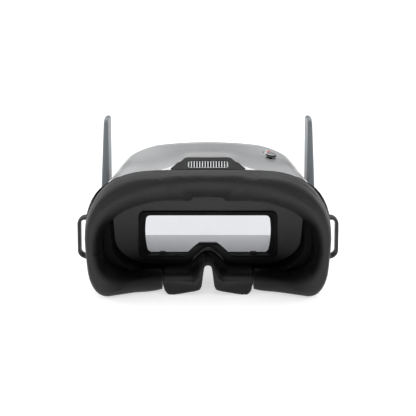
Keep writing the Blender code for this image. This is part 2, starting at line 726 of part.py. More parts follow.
def make_fan():
    x, y, z = FAN_MIDDLE
    place = along_y(x, y, z)
    half = FAN_DEPTH / 2
    frame = block("fan_frame", (FAN_SIZE, FAN_SIZE, FAN_DEPTH), DARK, place, 2.0)
    carve(frame, [disc("bore", [(11.9, -9.0), (11.9, 9.0)], DARK, place)])
    parts = [disc("motor", [(5.0, half - 1.4), (5.0, half - 0.1)], DARK, place)]
    parts.append(disc("axle", [(1.0, -half + 2.4), (1.0, half - 1.0)], DARK, place, 16))
    for turn in (0, 120, 240):
        parts.append(block("arm", (1.6, 11.0, 1.2), DARK, place @ turned(turn, "Z") @ at(0, 7.6, half - 0.8)))
    carve(frame, parts, "UNION")
    rotor = disc("fan_rotor", [(4.2, -half + 0.6), (5.0, -half + 1.2), (5.0, half - 1.8)], DARK, place)
    blades = []
    for i in range(7):
        spin = turned(i * 360 / 7, "Z") @ at(7.9, 0, -0.4) @ turned(38, "X")
        blades.append(block("blade", (6.6, 0.9, 5.2), DARK, place @ spin))
    carve(rotor, blades, "UNION")
    carve(rotor, [disc("bore", [(1.06, -half + 1.8), (1.06, half)], DARK, place, 16)])


# ---------------------------------------------------------------- antennas, loops and controls


def antenna_outline(inset):
    """(along, across) of the blade: round about the pivot, slightly tapered, with a rounded tip."""
    foot, tip, round_tip = 8.0 - inset, 7.0 - inset, 3.4
    points = []
    for i in range(9):
        a = math.pi / 2 + math.pi * i / 8
        points.append((foot * math.cos(a), foot * math.sin(a)))
    end = ANTENNA_LENGTH - inset
    for side in (-1, 1):
        arc = []
        for i in range(4):
            a = math.pi / 6 * i
            arc.append((end - round_tip * (1 - math.sin(a)), side * (tip - round_tip * (1 - math.cos(a)))))
        points += arc if side < 0 else arc[::-1]
    return points


def make_antennas():
    def skin(along):
        return ANTENNA_FOOT + (ANTENNA_TIP - ANTENNA_FOOT) * max(along, 0) / ANTENNA_LENGTH

    def back(along):
        return ANTENNA_TAPER * max(along - 10, 0) / (ANTENNA_LENGTH - 10)

    for side, sign in SIDES:
        place = pivot_place(sign)
        layers = [[(a, b, back(a)) for a, b in antenna_outline(0.7)],
                  [(a, b, back(a) + 0.7) for a, b in antenna_outline(0.0)],
                  [(a, b, skin(a) - 1.2) for a, b in antenna_outline(0.0)],
                  [(a, b, skin(a) - 0.35) for a, b in antenna_outline(0.4)],
                  [(a, b, skin(a)) for a, b in antenna_outline(1.2)]]
        blade = sweep("antenna_" + side, layers, GREY, False, place)
        ledge = ANTENNA_FOOT - 1.8
        bore = [(PIVOT_HOLE, -2.0), (PIVOT_HOLE, ledge), (5.5, ledge), (5.5, ledge + 4.0)]
        carve(blade, [disc("bore", bore, GREY, place)])
        seat = ledge + GAP
        pin = [(4.6, -8.4), (4.6, -6.9), (PIVOT_PIN, -6.9), (PIVOT_PIN, seat),
               (5.2, seat), (5.2, seat + 0.9), (4.6, seat + 1.2)]
        disc("antenna_pivot_" + side, pin, STEEL, place)


def rounded_box(x0, x1, z0, z1, radii):
    """(x, z) round a box from its lower inner corner; radii are those of its inner and outer corners."""
    inner, outer = radii
    corners = ((x0, z0, inner, 180, 1, 1), (x1, z0, outer, 270, -1, 1), (x1, z1, outer, 0, -1, -1),
               (x0, z1, inner, 90, 1, -1))
    points = []
    for x, z, r, start, dx, dz in corners:
        for i in range(5):
            a = math.radians(start + 22.5 * i)
            points.append((x + dx * r + r * math.cos(a), z + dz * r + r * math.sin(a)))
    return points


def make_loops():
    outer = (-2.0, 11.0, LOOP_HALF, (1.8, 7.0))
    hole = (2.0, 8.4, LOOP_HALF - 2.8, (1.2, 4.4))
    around = ((0.7, -3.0, outer), (0.0, -2.3, outer), (0.0, 2.3, outer), (0.7, 3.0, outer),
              (-0.5, 3.0, hole), (0.0, 2.4, hole), (0.0, -2.4, hole), (-0.5, -3.0, hole))
    top = LOOP_HALF + GAP + EAR
    pin = [(1.0, 0.4 - top), (1.0, top + GAP), (1.9, top + GAP), (1.9, top + GAP + 0.7),
           (1.4, top + GAP + 1.0)]
    for side, sign in SIDES:
        layers = []
        for inset, depth, (x0, x1, half, radii) in around:
            shape = rounded_box(x0 + inset, x1 - inset, inset - half, half - inset, radii)
            layers.append([(sign * x, depth, z) for x, z in shape])
        place = loop_place(sign)
        loop = sweep("strap_loop_" + side, [list(p) for p in zip(*layers)], DARK, True, place)
        carve(loop, [disc("bore", [(1.06, -30.0), (1.06, 30.0)], DARK, place, 16)])
        disc("loop_pin_" + side, pin, STEEL, place, 16)


def make_controls():
    place = controls_place()
    board = block("control_board", (17.0, 27.0, 1.2), GREEN, place @ at(0, 0, -10.6), 1.0)
    holes = []
    for number, x in enumerate(CONTROL_BOSSES, 1):
        spot = controls_place(CONTROL_BOSS_Y) @ at(x, 0, 0)
        holes.append(disc("bore", [(1.0, -14.0), (1.0, -8.0)], GREEN, spot, 12))
        screw("control_screw_%d" % number, spot @ at(0, 0, -11.3) @ turned(180, "X"), 5.0, 1.6, 0.75)
    carve(board, holes)

    spot = controls_place(RECORD_Y)
    switch = block("record_switch", (6.0, 6.0, 2.4), DARK, spot @ at(0, 0, -8.5), 0.6)
    carve(switch, [disc("plunger", [(1.6, -8.0), (1.6, -6.5)], DARK, spot, 12)], "UNION")
    cap = [(1.3, -5.4), (1.3, -3.5), (5.7, -3.5), (5.7, -2.6), (4.35, -2.6), (4.35, 0.3), (3.7, 0.8)]
    button = disc("record_button", cap, SILVER, spot)
    carve(button, [disc("seat", [(1.6, 0.2), (1.6, 2.0)], SILVER, spot, 16)])
    disc("record_dot", [(1.3, 0.5), (1.3, 0.9), (1.0, 1.1)], RED, spot, 16)

    spot = controls_place(JOYSTICK_Y)
    base = block("joystick_base", (12.0, 12.0, 5.4), DARK, spot @ at(0, 0, -7.0), 1.0)
    along_pin = turned(90, "Y")
    pivot = spot @ at(0, 0, GIMBAL_Z)
    carve(base, [disc("well", [(4.9, -9.0), (4.9, 2.0)], DARK, spot),
                 disc("bore", [(0.62, -8.0), (0.62, 8.0)], DARK, pivot @ along_pin, 12)])
    gimbal = disc("joystick_gimbal", [(4.1, -1.3), (4.1, 1.3)], STEEL, pivot)
    carve(gimbal, [disc("pin", [(0.55, -5.7), (0.55, 5.7)], STEEL, pivot @ along_pin, 12)], "UNION")
    cross = turned(90, "X")
    carve(gimbal, [disc("well", [(3.0, -3.0), (3.0, 3.0)], STEEL, pivot),
                   disc("bore", [(0.62, -5.0), (0.62, 5.0)], STEEL, pivot @ cross, 12)])
    rocker = disc("joystick_rocker", [(2.1, -1.1), (2.1, 1.1)], DARK, pivot, 16)
    carve(rocker, [disc("pin", [(0.55, -3.9), (0.55, 3.9)], DARK, pivot @ cross, 12)], "UNION")
    carve(rocker, [disc("bore", [(1.06, -3.0), (1.06, 3.0)], DARK, pivot, 16)])
    rise = -GIMBAL_Z
    stick = [(1.0, -1.3), (1.0, rise + 2.2), (1.6, rise + 2.6), (4.5, rise + 2.6), (4.5, rise + 3.0),
             (3.6, rise + 3.4)]
    disc("joystick_stick", stick, DARK, pivot)
    cap = [(3.2, rise + 3.7), (3.7, rise + 4.0), (3.7, rise + 4.3), (3.1, rise + 4.6)]
    disc("joystick_cap", cap, STEEL, pivot)


def make_cover_screws():
    number = 0
    for sign in (-1, 1):
        for x, z in COVER_SCREWS:
            number += 1
            screw("cover_screw_%d" % number, along_y(sign * x, COVER_FACE - 1.7, z), 9.0, 2.2, 1.0)


def build():
    for obj in list(bpy.data.objects):
        bpy.data.objects.remove(obj)
    make_housing()
    make_front_cover()
    make_cover_screws()
    make_vent()
    make_ports()
    make_foam()
    make_carrier()
    make_lens_frame()
    make_optics()
    make_tunnel()
    make_nose_guard()
    make_display()
    make_boards()
    make_fan()
    make_antennas()
    make_loops()
    make_controls()


build()
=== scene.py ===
import json
import math

import bmesh
import bpy
from mathutils import Matrix, Vector


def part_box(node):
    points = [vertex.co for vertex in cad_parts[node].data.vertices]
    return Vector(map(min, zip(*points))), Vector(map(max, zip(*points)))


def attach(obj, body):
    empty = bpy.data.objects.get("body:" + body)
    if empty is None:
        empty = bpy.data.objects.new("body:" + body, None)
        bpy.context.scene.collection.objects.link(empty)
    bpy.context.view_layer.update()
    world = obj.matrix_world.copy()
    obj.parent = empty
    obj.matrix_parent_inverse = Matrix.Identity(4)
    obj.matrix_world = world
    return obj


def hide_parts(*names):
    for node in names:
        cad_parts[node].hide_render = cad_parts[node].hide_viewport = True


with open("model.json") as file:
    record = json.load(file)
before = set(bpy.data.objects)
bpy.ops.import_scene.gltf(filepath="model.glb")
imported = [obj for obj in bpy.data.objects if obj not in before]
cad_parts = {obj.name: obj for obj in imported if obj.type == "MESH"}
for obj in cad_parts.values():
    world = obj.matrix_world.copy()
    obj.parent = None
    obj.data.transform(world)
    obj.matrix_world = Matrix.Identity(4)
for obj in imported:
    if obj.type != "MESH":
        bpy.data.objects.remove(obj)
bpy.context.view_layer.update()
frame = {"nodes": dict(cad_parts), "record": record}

# Lengths below are in millimetres in the CAD model's frame, and MM turns them into metres.
MM = 0.001
GAP = 0.3
SIDES = (("left", -1), ("right", 1))


def edge_of(node, corner, axis):
    """One coordinate of a CAD node's box, in millimetres."""
    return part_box(node)[corner][axis] / MM


FOAM_HALF_WIDTH = edge_of("foam_cushion", 1, 0)
FOAM_TOP = edge_of("foam_cushion", 1, 2)
FOAM_REAR = -40.0
FOAM_REAR_BEND = 0.002072
BASE_REAR = -24.0
BASE_BEND = 0.0012
FLANGE = 3.0
FOAM_BACKING = 0.8
RIM_BULGE = 4.6
RIM_TOP = edge_of("face_carrier", 1, 2)
GUARD_HALF_WIDTH = edge_of("nose_guard", 1, 0)
GUARD_SHEET = 2.2

HOUSING_REAR = BASE_REAR + FLANGE + 2 * GAP
HOUSING_FRONT = edge_of("main_housing", 1, 1)
COVER_FACE = edge_of("front_cover", 1, 1)
WALL = 2.0
ROOF = 97.4
SHOULDER = 45.0
SIDE_DRAFT = math.tan(math.radians(5))
NOSE_RISE = 16.0
LIP_HALF = 13.0
LIP_Y = -16.4
LIP_TOP = 25.8
LIP_BEND = 0.0622
RIDGE_HEIGHT = 5.6
RIDGE_CREST = -12.0
RIDGE_TOP_HALF = 15.3
RIDGE_FOOT_HALF = 45.0
VENT_PLATE = 1.5
VENT_LOW = -6.67
VENT_HIGH = 4.9
VENT_MIDDLE = -1.9
VENT_SLOTS = 14
VENT_PITCH = 2.08

PLATE_Y = -12.0
PLATE = 2.0
GASKET_REAR = -12.8
LENS_REAR = edge_of("lens", 0, 1)
LENS = edge_of("lens", 1, 1) - LENS_REAR
TUNNEL_REAR = LENS_REAR + LENS + GAP
TUNNEL_FRONT = edge_of("light_tunnel", 1, 1)

PIVOT = (81.4, 5.0, 46.0)
LEAN = math.radians(4.3)
ANTENNA_LENGTH = 84.9
ANTENNA_FOOT = 7.5
ANTENNA_TIP = 4.2
ANTENNA_TAPER = 0.6
ANTENNA_SEAT = 1.8
BACK_EDGE = 0.7
SKIN_EDGE = 1.2
LOOP_PIN = (91.9, -24.0, 41.3)
LOOP_LEAN = 5.0
LOOP_HALF = 18.9
EAR = 3.2

CONTROLS = (51.2, 23.0, 92.75)
CONTROLS_TILT = 7.0
JOYSTICK_Y = -7.0
RECORD_Y = 7.5
GIMBAL_Z = -6.4
PORT_Z = 19.0
PORT_DEPTH = 8.0
COVER_RECESS = 1.3
COVER_EDGE = 4.0
PANEL_HALF_WIDTH = 34.0
PANEL_LOW = 20.0
PANEL_HIGH = 76.0
PANEL_CORNER = 8.0
PANEL_SEAT = 0.6
COVER_SCREWS = ((30.0, 10.0), (30.0, 84.0))

# The mesh attribute that holds painted shade: each vertex's share of darkening to near black, where shade
# falls
PAINTED_SHADE = "painted_shade"
# Edges sharper than this, in degrees, stay sharp
SHARP = 38
SHELL_SHARP = 24

# Points along each stretch of an outline, the same on all of them so that two join point by point
NOSE_STEPS = 24
FLAT_STEPS = 10
CORNER_STEPS = 14
TOP_STEPS = 56


# ------------------------------ materials


def new_material(name, constants):
    """A material, its tree and shader with some constant inputs, and a function that adds nodes."""
    made = bpy.data.materials.new(name)
    made.use_nodes = True
    tree = made.node_tree
    shader = tree.nodes["Principled BSDF"]
    for key, value in constants.items():
        shader.inputs[key].default_value = value

    def add(kind, **inputs):
        node = tree.nodes.new("ShaderNode" + kind)
        for key, value in inputs.items():
            if isinstance(value, bpy.types.NodeSocket):
                tree.links.new(value, node.inputs[key])
            else:
                node.inputs[key].default_value = value
        return node

    return made, tree, shader, add


def ramp(tree, add, value, stops):
    """A colour ramp over the value: each stop is its place and its colour or grey level."""
    node = add("ValToRGB")
    tree.links.new(value, node.inputs[0])
    while len(node.color_ramp.elements) < len(stops):
        node.color_ramp.elements.new(0.5)
    for element, (place, grey) in zip(node.color_ramp.elements, stops):
        element.position = place
        element.color = (grey, grey, grey, 1) if not hasattr(grey, "__len__") else (*grey, 1)
    return node.outputs["Color"]


def blend(tree, add, share, first, second):
    """The first colour where share is 0, turning into the second where it is 1."""
    mix = add("Mix")
    mix.data_type = "RGBA"
    tree.links.new(share, mix.inputs["Factor"])
    tree.links.new(first, mix.inputs[6])
    mix.inputs[7].default_value = (*second, 1)
    return mix.outputs[2]


def ranged(tree, add, value, socket, low, high, start=0.0, end=1.0):
    """Runs a shader's socket from low to high while the value goes from start to end."""
    span = add("MapRange", Value=value)
    for key, level in (("From Min", start), ("From Max", end), ("To Min", low), ("To Max", high)):
        span.inputs[key].default_value = level
    tree.links.new(span.outputs[0], socket)


def surface(name, colour, roughness, metallic=0.0, grain=(2500.0, 0.08), mottle=(35.0, 0.08), spread=0.08,
            wear=0.0, stretch=None, cells=0.0, specular=0.5, coat=0.0, sheen=0.0, paints_shade=False):
    """Moulded or brushed stuff: fine grain in the bump, mottling in colour and roughness, worn edges.

    grain is (scale per metre, strength), mottle (scale, share of the colour), spread the roughness's range.
    cells adds leather-like cells, and stretch makes the grain run along an axis.
    The last switch lets the mesh's own attribute values darken the stuff towards near black and cut its
    specular and sheen: painted shade.
    """
    made, tree, shader, add = new_material(name, {
        "Metallic": metallic, "Specular IOR Level": specular, "Sheen Weight": sheen, "Sheen Roughness": 0.45,
        "Coat Weight": coat, "Coat Roughness": 0.25})
    place = add("TexCoord").outputs["Object"]
    fine_place = add("Mapping", Vector=place, Scale=stretch).outputs[0] if stretch else place
    broad = add("TexNoise", Vector=place, Scale=mottle[0], Detail=3.0).outputs["Fac"]
    fine = add("TexNoise", Vector=fine_place, Scale=grain[0], Detail=2.0).outputs["Fac"]
    deep = [c * (1 - mottle[1]) for c in colour]
    light = [min(c * (1 + mottle[1]), 1) for c in colour]
    tint = ramp(tree, add, broad, [(0.3, deep), (0.7, light)])
    if wear:
        edge = ramp(tree, add, add("NewGeometry").outputs["Pointiness"], [(0.515, 0.0), (0.6, 1.0)])
        scuffs = add("TexNoise", Vector=place, Scale=260.0, Detail=4.0).outputs["Fac"]
        patchy = add("Math")
        patchy.operation = "MULTIPLY"
        tree.links.new(edge, patchy.inputs[0])
        tree.links.new(scuffs, patchy.inputs[1])
        tint = blend(tree, add, patchy.outputs[0], tint, [min(c + wear, 1) for c in colour])
    # Painted shade: where the mesh's attribute says so, the colour turns near black and the specular and
    # sheen fall, as if in shade.
    if paints_shade:
        painted_shade = add("Attribute")
        painted_shade.attribute_name = PAINTED_SHADE
        share = painted_shade.outputs["Fac"]
        tint = blend(tree, add, share, tint, (0.0025, 0.0025, 0.0026))
        ranged(tree, add, share, shader.inputs["Specular IOR Level"], specular, 0.06)
        ranged(tree, add, share, shader.inputs["Sheen Weight"], sheen, 0.0)
    tree.links.new(tint, shader.inputs["Base Color"])
    low, high = roughness - spread / 2, roughness + spread / 2
    ranged(tree, add, broad, shader.inputs["Roughness"], low, high, 0.3, 0.7)
    bump = add("Bump", Height=fine, Strength=grain[1], Distance=0.0002)
    if cells:
        voronoi = add("TexVoronoi", Vector=place, Scale=cells)
        second = add("Bump", Height=voronoi.outputs["Distance"], Strength=grain[1] * 1.5, Distance=0.0003)
        tree.links.new(bump.outputs[0], second.inputs["Normal"])
        bump = second
    tree.links.new(bump.outputs[0], shader.inputs["Normal"])
    return made


def screen_material():
    made, tree, shader, add = new_material("display_glow", {
        "Base Color": (0.2, 0.2, 0.2, 1), "Roughness": 0.25, "Emission Strength": 1.0})
    place = add("TexCoord").outputs["Object"]
    rows = add("TexWave", Vector=place, Scale=900.0)
    rows.bands_direction = "Z"
    tint = ramp(tree, add, rows.outputs["Fac"], [(0.0, (0.725, 0.73, 0.745)), (1.0, (0.75, 0.755, 0.765))])
    tree.links.new(tint, shader.inputs["Emission Color"])
    return made


def glass_material():
    made, tree, shader, add = new_material("lens_clear", {
        "Base Color": (0.97, 0.98, 0.99, 1), "Transmission Weight": 1.0, "IOR": 1.2})
    place = add("TexCoord").outputs["Object"]
    haze = add("TexNoise", Vector=place, Scale=60.0).outputs["Fac"]
    tree.links.new(ramp(tree, add, haze, [(0.3, 0.01), (0.8, 0.03)]), shader.inputs["Roughness"])
    return made


def board_material():
    made, tree, shader, add = new_material("printed_board", {"Roughness": 0.35})
    place = add("TexCoord").outputs["Object"]
    tracks = add("TexBrick", Vector=place, Scale=260.0, Color1=(0.01, 0.07, 0.035, 1),
                 Color2=(0.015, 0.1, 0.05, 1), Mortar=(0.05, 0.2, 0.1, 1))
    tree.links.new(tracks.outputs["Color"], shader.inputs["Base Color"])
    bump = add("Bump", Height=tracks.outputs["Fac"], Strength=0.2, Distance=0.0002)
    tree.links.new(bump.outputs[0], shader.inputs["Normal"])
    return made


LOOKS = {
    "silver": surface("silver_satin", (0.45, 0.455, 0.462), 0.3, 0.5, (4200, 0.1), (18, 0.04), 0.06,
                      wear=0.2),
    "antenna": surface("antenna_grey", (0.17, 0.19, 0.205), 0.4, 0.1, (3600, 0.12), (25, 0.05), 0.08,
                       wear=0.12),
    "black": surface("black_moulded", (0.016, 0.016, 0.017), 0.5, 0.0, (3000, 0.2), (40, 0.12), 0.12,
                     wear=0.05, paints_shade=True),
    "frame": surface("frame_moulded", (0.032, 0.032, 0.033), 0.6, 0.0, (2600, 0.25), (30, 0.1), 0.1,
                     wear=0.03, paints_shade=True),
    "bezel": surface("bezel_satin", (0.009, 0.009, 0.0095), 0.55, 0.0, (3000, 0.2), (40, 0.12), 0.1,
                     wear=0.03, specular=0.25),
    "dull": surface("gasket_dull", (0.004, 0.004, 0.004), 0.75, 0.0, (2600, 0.2), (40, 0.2), 0.1,
                    specular=0.25),
    "foam": surface("foam_leatherette", (0.01, 0.01, 0.0105), 0.58, 0.0, (1800, 0.3), (28, 0.14), 0.14,
                    wear=0.02, cells=950.0, specular=0.42, sheen=0.08, paints_shade=True),
    "rubber": surface("guard_rubber", (0.014, 0.014, 0.0145), 0.5, 0.0, (2200, 0.2), (45, 0.12), 0.1,
                      wear=0.03, sheen=0.04, paints_shade=True),
    # The nose lip bead is real; its lighter grey than the guard's rubber is partly painted highlight along
    # its edge.
    "bead": surface("bead_rubber_painted_highlight", (0.06, 0.06, 0.062), 0.3, 0.0, (2200, 0.1), (45, 0.12), 0.08, wear=0.03),
    "pale": surface("tunnel_grey", (0.8, 0.8, 0.81), 0.55, 0.0, (2200, 0.1), (30, 0.03), 0.06),
    "trim": surface("grille_silver", (0.3, 0.305, 0.31), 0.35, 0.8, (3500, 0.08), (40, 0.05), 0.1,
                    wear=0.2),
    "steel": surface("brushed_steel_fine", (0.5, 0.5, 0.51), 0.3, 1.0, (1500, 0.15), (60, 0.06), 0.12,
                     wear=0.1, stretch=(1.0, 12.0, 1.0)),
    "alloy": surface("turned_alloy", (0.55, 0.56, 0.57), 0.28, 1.0, (1800, 0.15), (50, 0.05), 0.1,
                     wear=0.1, stretch=(12.0, 1.0, 1.0)),
    "gloss": surface("panel_gloss", (0.008, 0.008, 0.009), 0.12, 0.0, (900, 0.02), (20, 0.1), 0.06,
                     wear=0.02, coat=0.6),
    "red": surface("red_moulded", (0.62, 0.03, 0.035), 0.35, 0.0, (2500, 0.05), (80, 0.08), 0.08,
                   wear=0.05),
    "board": board_material(),
    "screen": screen_material(),
    "glass": glass_material(),
}


# ------------------------------ making meshes


def link(obj):
    bpy.context.scene.collection.objects.link(obj)
    return obj


def make(name, points, faces, look, place, sharp):
    """An object from points in millimetres, moved to its place, with its faces turned outwards."""
    mesh = bpy.data.meshes.new(name)
    mesh.from_pydata([Vector(p) * MM for p in points], [], faces)
    mesh.materials.append(LOOKS[look])
    obj = link(bpy.data.objects.new(name, mesh))
    if place is not None:
        mesh.transform(Matrix.Translation(place.translation * MM) @ place.to_3x3().to_4x4())
    built = bmesh.new()
    built.from_mesh(mesh)
    bmesh.ops.recalc_face_normals(built, faces=built.faces)
    if built.calc_volume(signed=True) < 0:
        bmesh.ops.reverse_faces(built, faces=built.faces)
    built.to_mesh(mesh)
    built.free()
    shade(mesh, sharp)
    return obj


def shade(mesh, sharp):
    """Shades the mesh smooth, apart from edges sharper than so many degrees."""
    mesh.shade_smooth()
    mesh.set_sharp_from_angle(angle=math.radians(sharp))


def paint_shade(obj, share):
    """Gives each vertex its share of painted shade, from its number and its place in millimetres."""
    values = obj.data.attributes.new(PAINTED_SHADE, "FLOAT", "POINT").data
    for vertex, value in zip(obj.data.vertices, values):
        value.value = share(vertex.index, vertex.co / MM)


def sweep(name, sections, look, closed=False, place=None, sharp=SHARP):
    """A solid through sections of equal point count: a ring where closed, else a bar with two caps."""
    count, rows = len(sections[0]), len(sections)
    faces = []
    for row in range(rows if closed else rows - 1):
        below = (row + 1) % rows
        for column in range(count):
            beside = (column + 1) % count
            corners = ((row, column), (row, beside), (below, beside), (below, column))
            faces.append([r * count + c for r, c in corners])
    if not closed:
        faces.append(tuple(range(count))[::-1])
        faces.append(tuple(range((rows - 1) * count, rows * count)))
    return make(name, [p for section in sections for p in section], faces, look, place, sharp)


def ring(name, outlines, look, sharp=SHARP):
    """A ring-shaped solid: each outline is a closed line of (x, y, z), and they go round its wall."""
    return sweep(name, [list(points) for points in zip(*outlines)], look, True, sharp=sharp)


def at(x, y, z, turn=None):
    move = Matrix.Translation((x, y, z))
    return move @ turn if turn is not None else move


def turned(degrees, axis):
    return Matrix.Rotation(math.radians(degrees), 4, axis)


def along_y(x, y, z):
    return at(x, y, z, turned(-90, "X"))


def rounded_rectangle(width, depth, radius):
    points = []
    for start, sx, sy in ((0, 1, 1), (90, -1, 1), (180, -1, -1), (270, 1, -1)):
        for i in range(7):
            a = math.radians(start + 15 * i)
            points.append((sx * (width / 2 - radius) + radius * math.cos(a),
                           sy * (depth / 2 - radius) + radius * math.sin(a)))
    return points


def soft_block(name, size, look, place, radius=1.0, edge=0.4):
    """A box with rounded corners along its own Z, and softened edges at both ends."""
    w, d, h = size
    near, end = edge * 0.3, h / 2
    layers = []
    for inset, z in ((edge, -end), (near, near - end), (0, edge - end), (0, end - edge), (near, end - near),
                     (edge, end)):
        layers.append([(x, y, z) for x, y in rounded_rectangle(w - 2 * inset, d - 2 * inset, radius)])
    return sweep(name, layers, look, place=place)


def disc(name, profile, look, place, sides=48):
    """A turned solid: profile holds (radius, height) from bottom to top along the place's own Z axis."""
    turns = [math.tau * i / sides for i in range(sides)]
    sections = [[(r * math.cos(a), r * math.sin(a), z) for a in turns] for r, z in profile]
    return sweep(name, sections, look, place=place)


def apply_modifiers(target):
    bpy.context.view_layer.update()
    graph = bpy.context.evaluated_depsgraph_get()
    target.data = bpy.data.meshes.new_from_object(target.evaluated_get(graph))
    target.modifiers.clear()


def carve(target, tools, operation="DIFFERENCE", sharp=SHARP):
    """Applies one exact Boolean for each tool and removes the tool."""
    for tool in tools:
        modifier = target.modifiers.new(tool.name, "BOOLEAN")
        modifier.operation = operation
        modifier.object = tool
    apply_modifiers(target)
    for tool in tools:
        bpy.data.objects.remove(tool)
    while len(target.data.materials) > 1:
        target.data.materials.pop()
    shade(target.data, sharp)


def show(piece, body, slot, *nodes):
    """The piece rides on the body and stands for the CAD nodes, which it hides; the slot is not used."""
    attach(piece, body)
    if nodes:
        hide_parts(*nodes)
    return piece


# ------------------------------ outlines, as in the CAD model but finer


def smooth_step(t):
    t = min(max(t, 0.0), 1.0)
    return t * t * (3 - 2 * t)


def bell(t, flat=0.28):
    return smooth_step((1 - t) / (1 - flat))


def corner_arc(corner, start):
    reach, rise, power = corner
    points = []
    for i in range(CORNER_STEPS + 1):
        a = math.radians(start + 90 * i / CORNER_STEPS)
        x = abs(math.cos(a)) ** (2 / power)
        z = math.copysign(abs(math.sin(a)) ** (2 / power), math.sin(a))
        points.append((reach * x, rise * z))
    return points


def half_outline(half_width, bottom, top, low, high, nose_half, nose_rise, flat=0.28):
    """(x, z) from the middle of the bottom round the right side to the middle of the top."""
    points = []
    for i in range(NOSE_STEPS + 1):
        t = i / NOSE_STEPS
        points.append((nose_half * t, bottom + nose_rise * bell(t, flat)))
    corner_x, corner_z = half_width - low[0], bottom + low[1]
    top_z, top_x = top - high[1], half_width - high[0]
    points += [(nose_half + (corner_x - nose_half) * i / FLAT_STEPS, bottom) for i in range(1, FLAT_STEPS)]
    points += [(corner_x + x, corner_z + z) for x, z in corner_arc(low, -90)]
    points += [(half_width, corner_z + (top_z - corner_z) * i / FLAT_STEPS) for i in range(1, FLAT_STEPS)]
    points += [(top_x + x, top_z + z) for x, z in corner_arc(high, 0)]
    points += [(top_x * (1 - i / TOP_STEPS), top) for i in range(1, TOP_STEPS + 1)]
    return points


def whole(half):
    return half + [(-x, z) for x, z in half[-2:0:-1]]


def round_corner(radius):
    return (radius, radius, 2.0)


def lifted(outline, height):
    if callable(height):
        return [(x, height(x, z), z) for x, z in outline]
    return [(x, height, z) for x, z in outline]


def mixed(outline, other, share):
    return [(x0 + (x1 - x0) * share, z0 + (z1 - z0) * share) for (x0, z0), (x1, z1) in zip(outline, other)]


def base_y(x):
    return BASE_REAR - BASE_BEND * x * x


def plate_y(x, z):
    return PLATE_Y - 0.0137 * max(abs(x) - 50, 0) ** 2 - 0.014 * max(z - 60, 0) ** 2


def curve_through(points, count):
    """count points along a smooth curve through the given ones."""
    points = [Vector(p) for p in points]
    ends = [points[0] * 2 - points[1]] + points + [points[-1] * 2 - points[-2]]
    out = []
    for i in range(count):
        t = i / (count - 1) * (len(points) - 1)
        k = min(int(t), len(points) - 2)
        u = t - k
        a, b, c, d = ends[k:k + 4]
        out.append(0.5 * (2 * b + (c - a) * u + (2 * a - 5 * b + 4 * c - d) * u * u
                          + (3 * b - a - 3 * c + d) * u ** 3))
    return out


# ------------------------------ housing


def rise_of_ridge(x, y):
    """The ridge's height above the roof: up its rear slope, then fading forwards."""
    spread = min(max((abs(x) - RIDGE_TOP_HALF) / (RIDGE_FOOT_HALF - RIDGE_TOP_HALF), 0.0), 1.0)
    side = (1 - spread) ** 1.8
    slope = (y - HOUSING_REAR) / (RIDGE_CREST - HOUSING_REAR)
    fade = 1 - smooth_step((y - RIDGE_CREST + 2) / 46)
    return RIDGE_HEIGHT * min(max(slope, 0.0), side * fade)


def half_width_at(y):
    taper = 79.0 - 0.12 * max(y + 6, 0) + 0.2 * max(-y - 6, 0)
    corner = 26.0
    t = max(y - COVER_FACE + corner, 0.0) / corner
    return taper - 1.2 * corner * (1 - math.sqrt(max(1 - t * t, 0.0)))


def housing_outline(y, inset, ridge=True):
    """The housing's section at y, with sides that lean in above the shoulder, and the nose's arch."""
    half_width = half_width_at(y) - inset
    nose = NOSE_RISE * (1 - smooth_step((y - HOUSING_REAR) / 36))
    corner = round_corner(13 - 4 * smooth_step((y + 20) / 60) - inset)
    top = ROOF - 0.025 * (y + 20) - inset
    half = half_outline(half_width, inset, top, corner, corner, 19 + inset, nose, 0.0)
    bend = 0.0008 + 0.0006 * smooth_step((y + 20) / 70)
    shaped = []
    for x, z in half:
        lift = max(z - SHOULDER, 0) / (top - SHOULDER)
        x -= SIDE_DRAFT * max(z - SHOULDER, 0) * (x / half_width) ** 2
        z -= bend * x * x * lift * lift
        if ridge and lift > 0.85:
            z += rise_of_ridge(x, y)
        shaped.append((x, z))
    return whole(shaped)


def bent(x, y):
    """The carrier's bend at the rear edge, fading out over 20 mm."""
    return y - BASE_BEND * x * x * (1 - smooth_step((y - HOUSING_REAR) / 20))


def housing_ring(y, inset, ridge=True):
    return [(x, bent(x, y), z) for x, z in housing_outline(y, inset, ridge)]


def pivot_place(sign):
    outward = Vector((sign * math.cos(LEAN), 0, math.sin(LEAN)))
    up = Vector((-sign * math.sin(LEAN), 0, math.cos(LEAN)))
    turn = Matrix((up, outward.cross(up), outward)).transposed().to_4x4()
    return at(sign * PIVOT[0], PIVOT[1], PIVOT[2], turn)


def loop_place(sign):
    return at(sign * LOOP_PIN[0], LOOP_PIN[1], LOOP_PIN[2], turned(-sign * LOOP_LEAN, "Y"))


def vent_place():
    run = RIDGE_CREST - HOUSING_REAR
    lean = Matrix.Rotation(-math.atan2(run, RIDGE_HEIGHT), 4, "X")
    return at(0, HOUSING_REAR + run / 2, ROOF + RIDGE_HEIGHT / 2, lean)


def controls_place(y=0.0):
    return at(*CONTROLS, turned(CONTROLS_TILT, "Y")) @ at(0, y, 0)


def port_specs():
    """Each socket's name, side, place along y, width and height."""
    return (("usb_port", 1, 14.0, 9.6, 4.0), ("av_jack", 1, 26.0, 7.0, 7.0),
            ("card_slot", -1, 14.0, 13.0, 3.2), ("dc_jack", -1, 27.5, 9.0, 9.0))


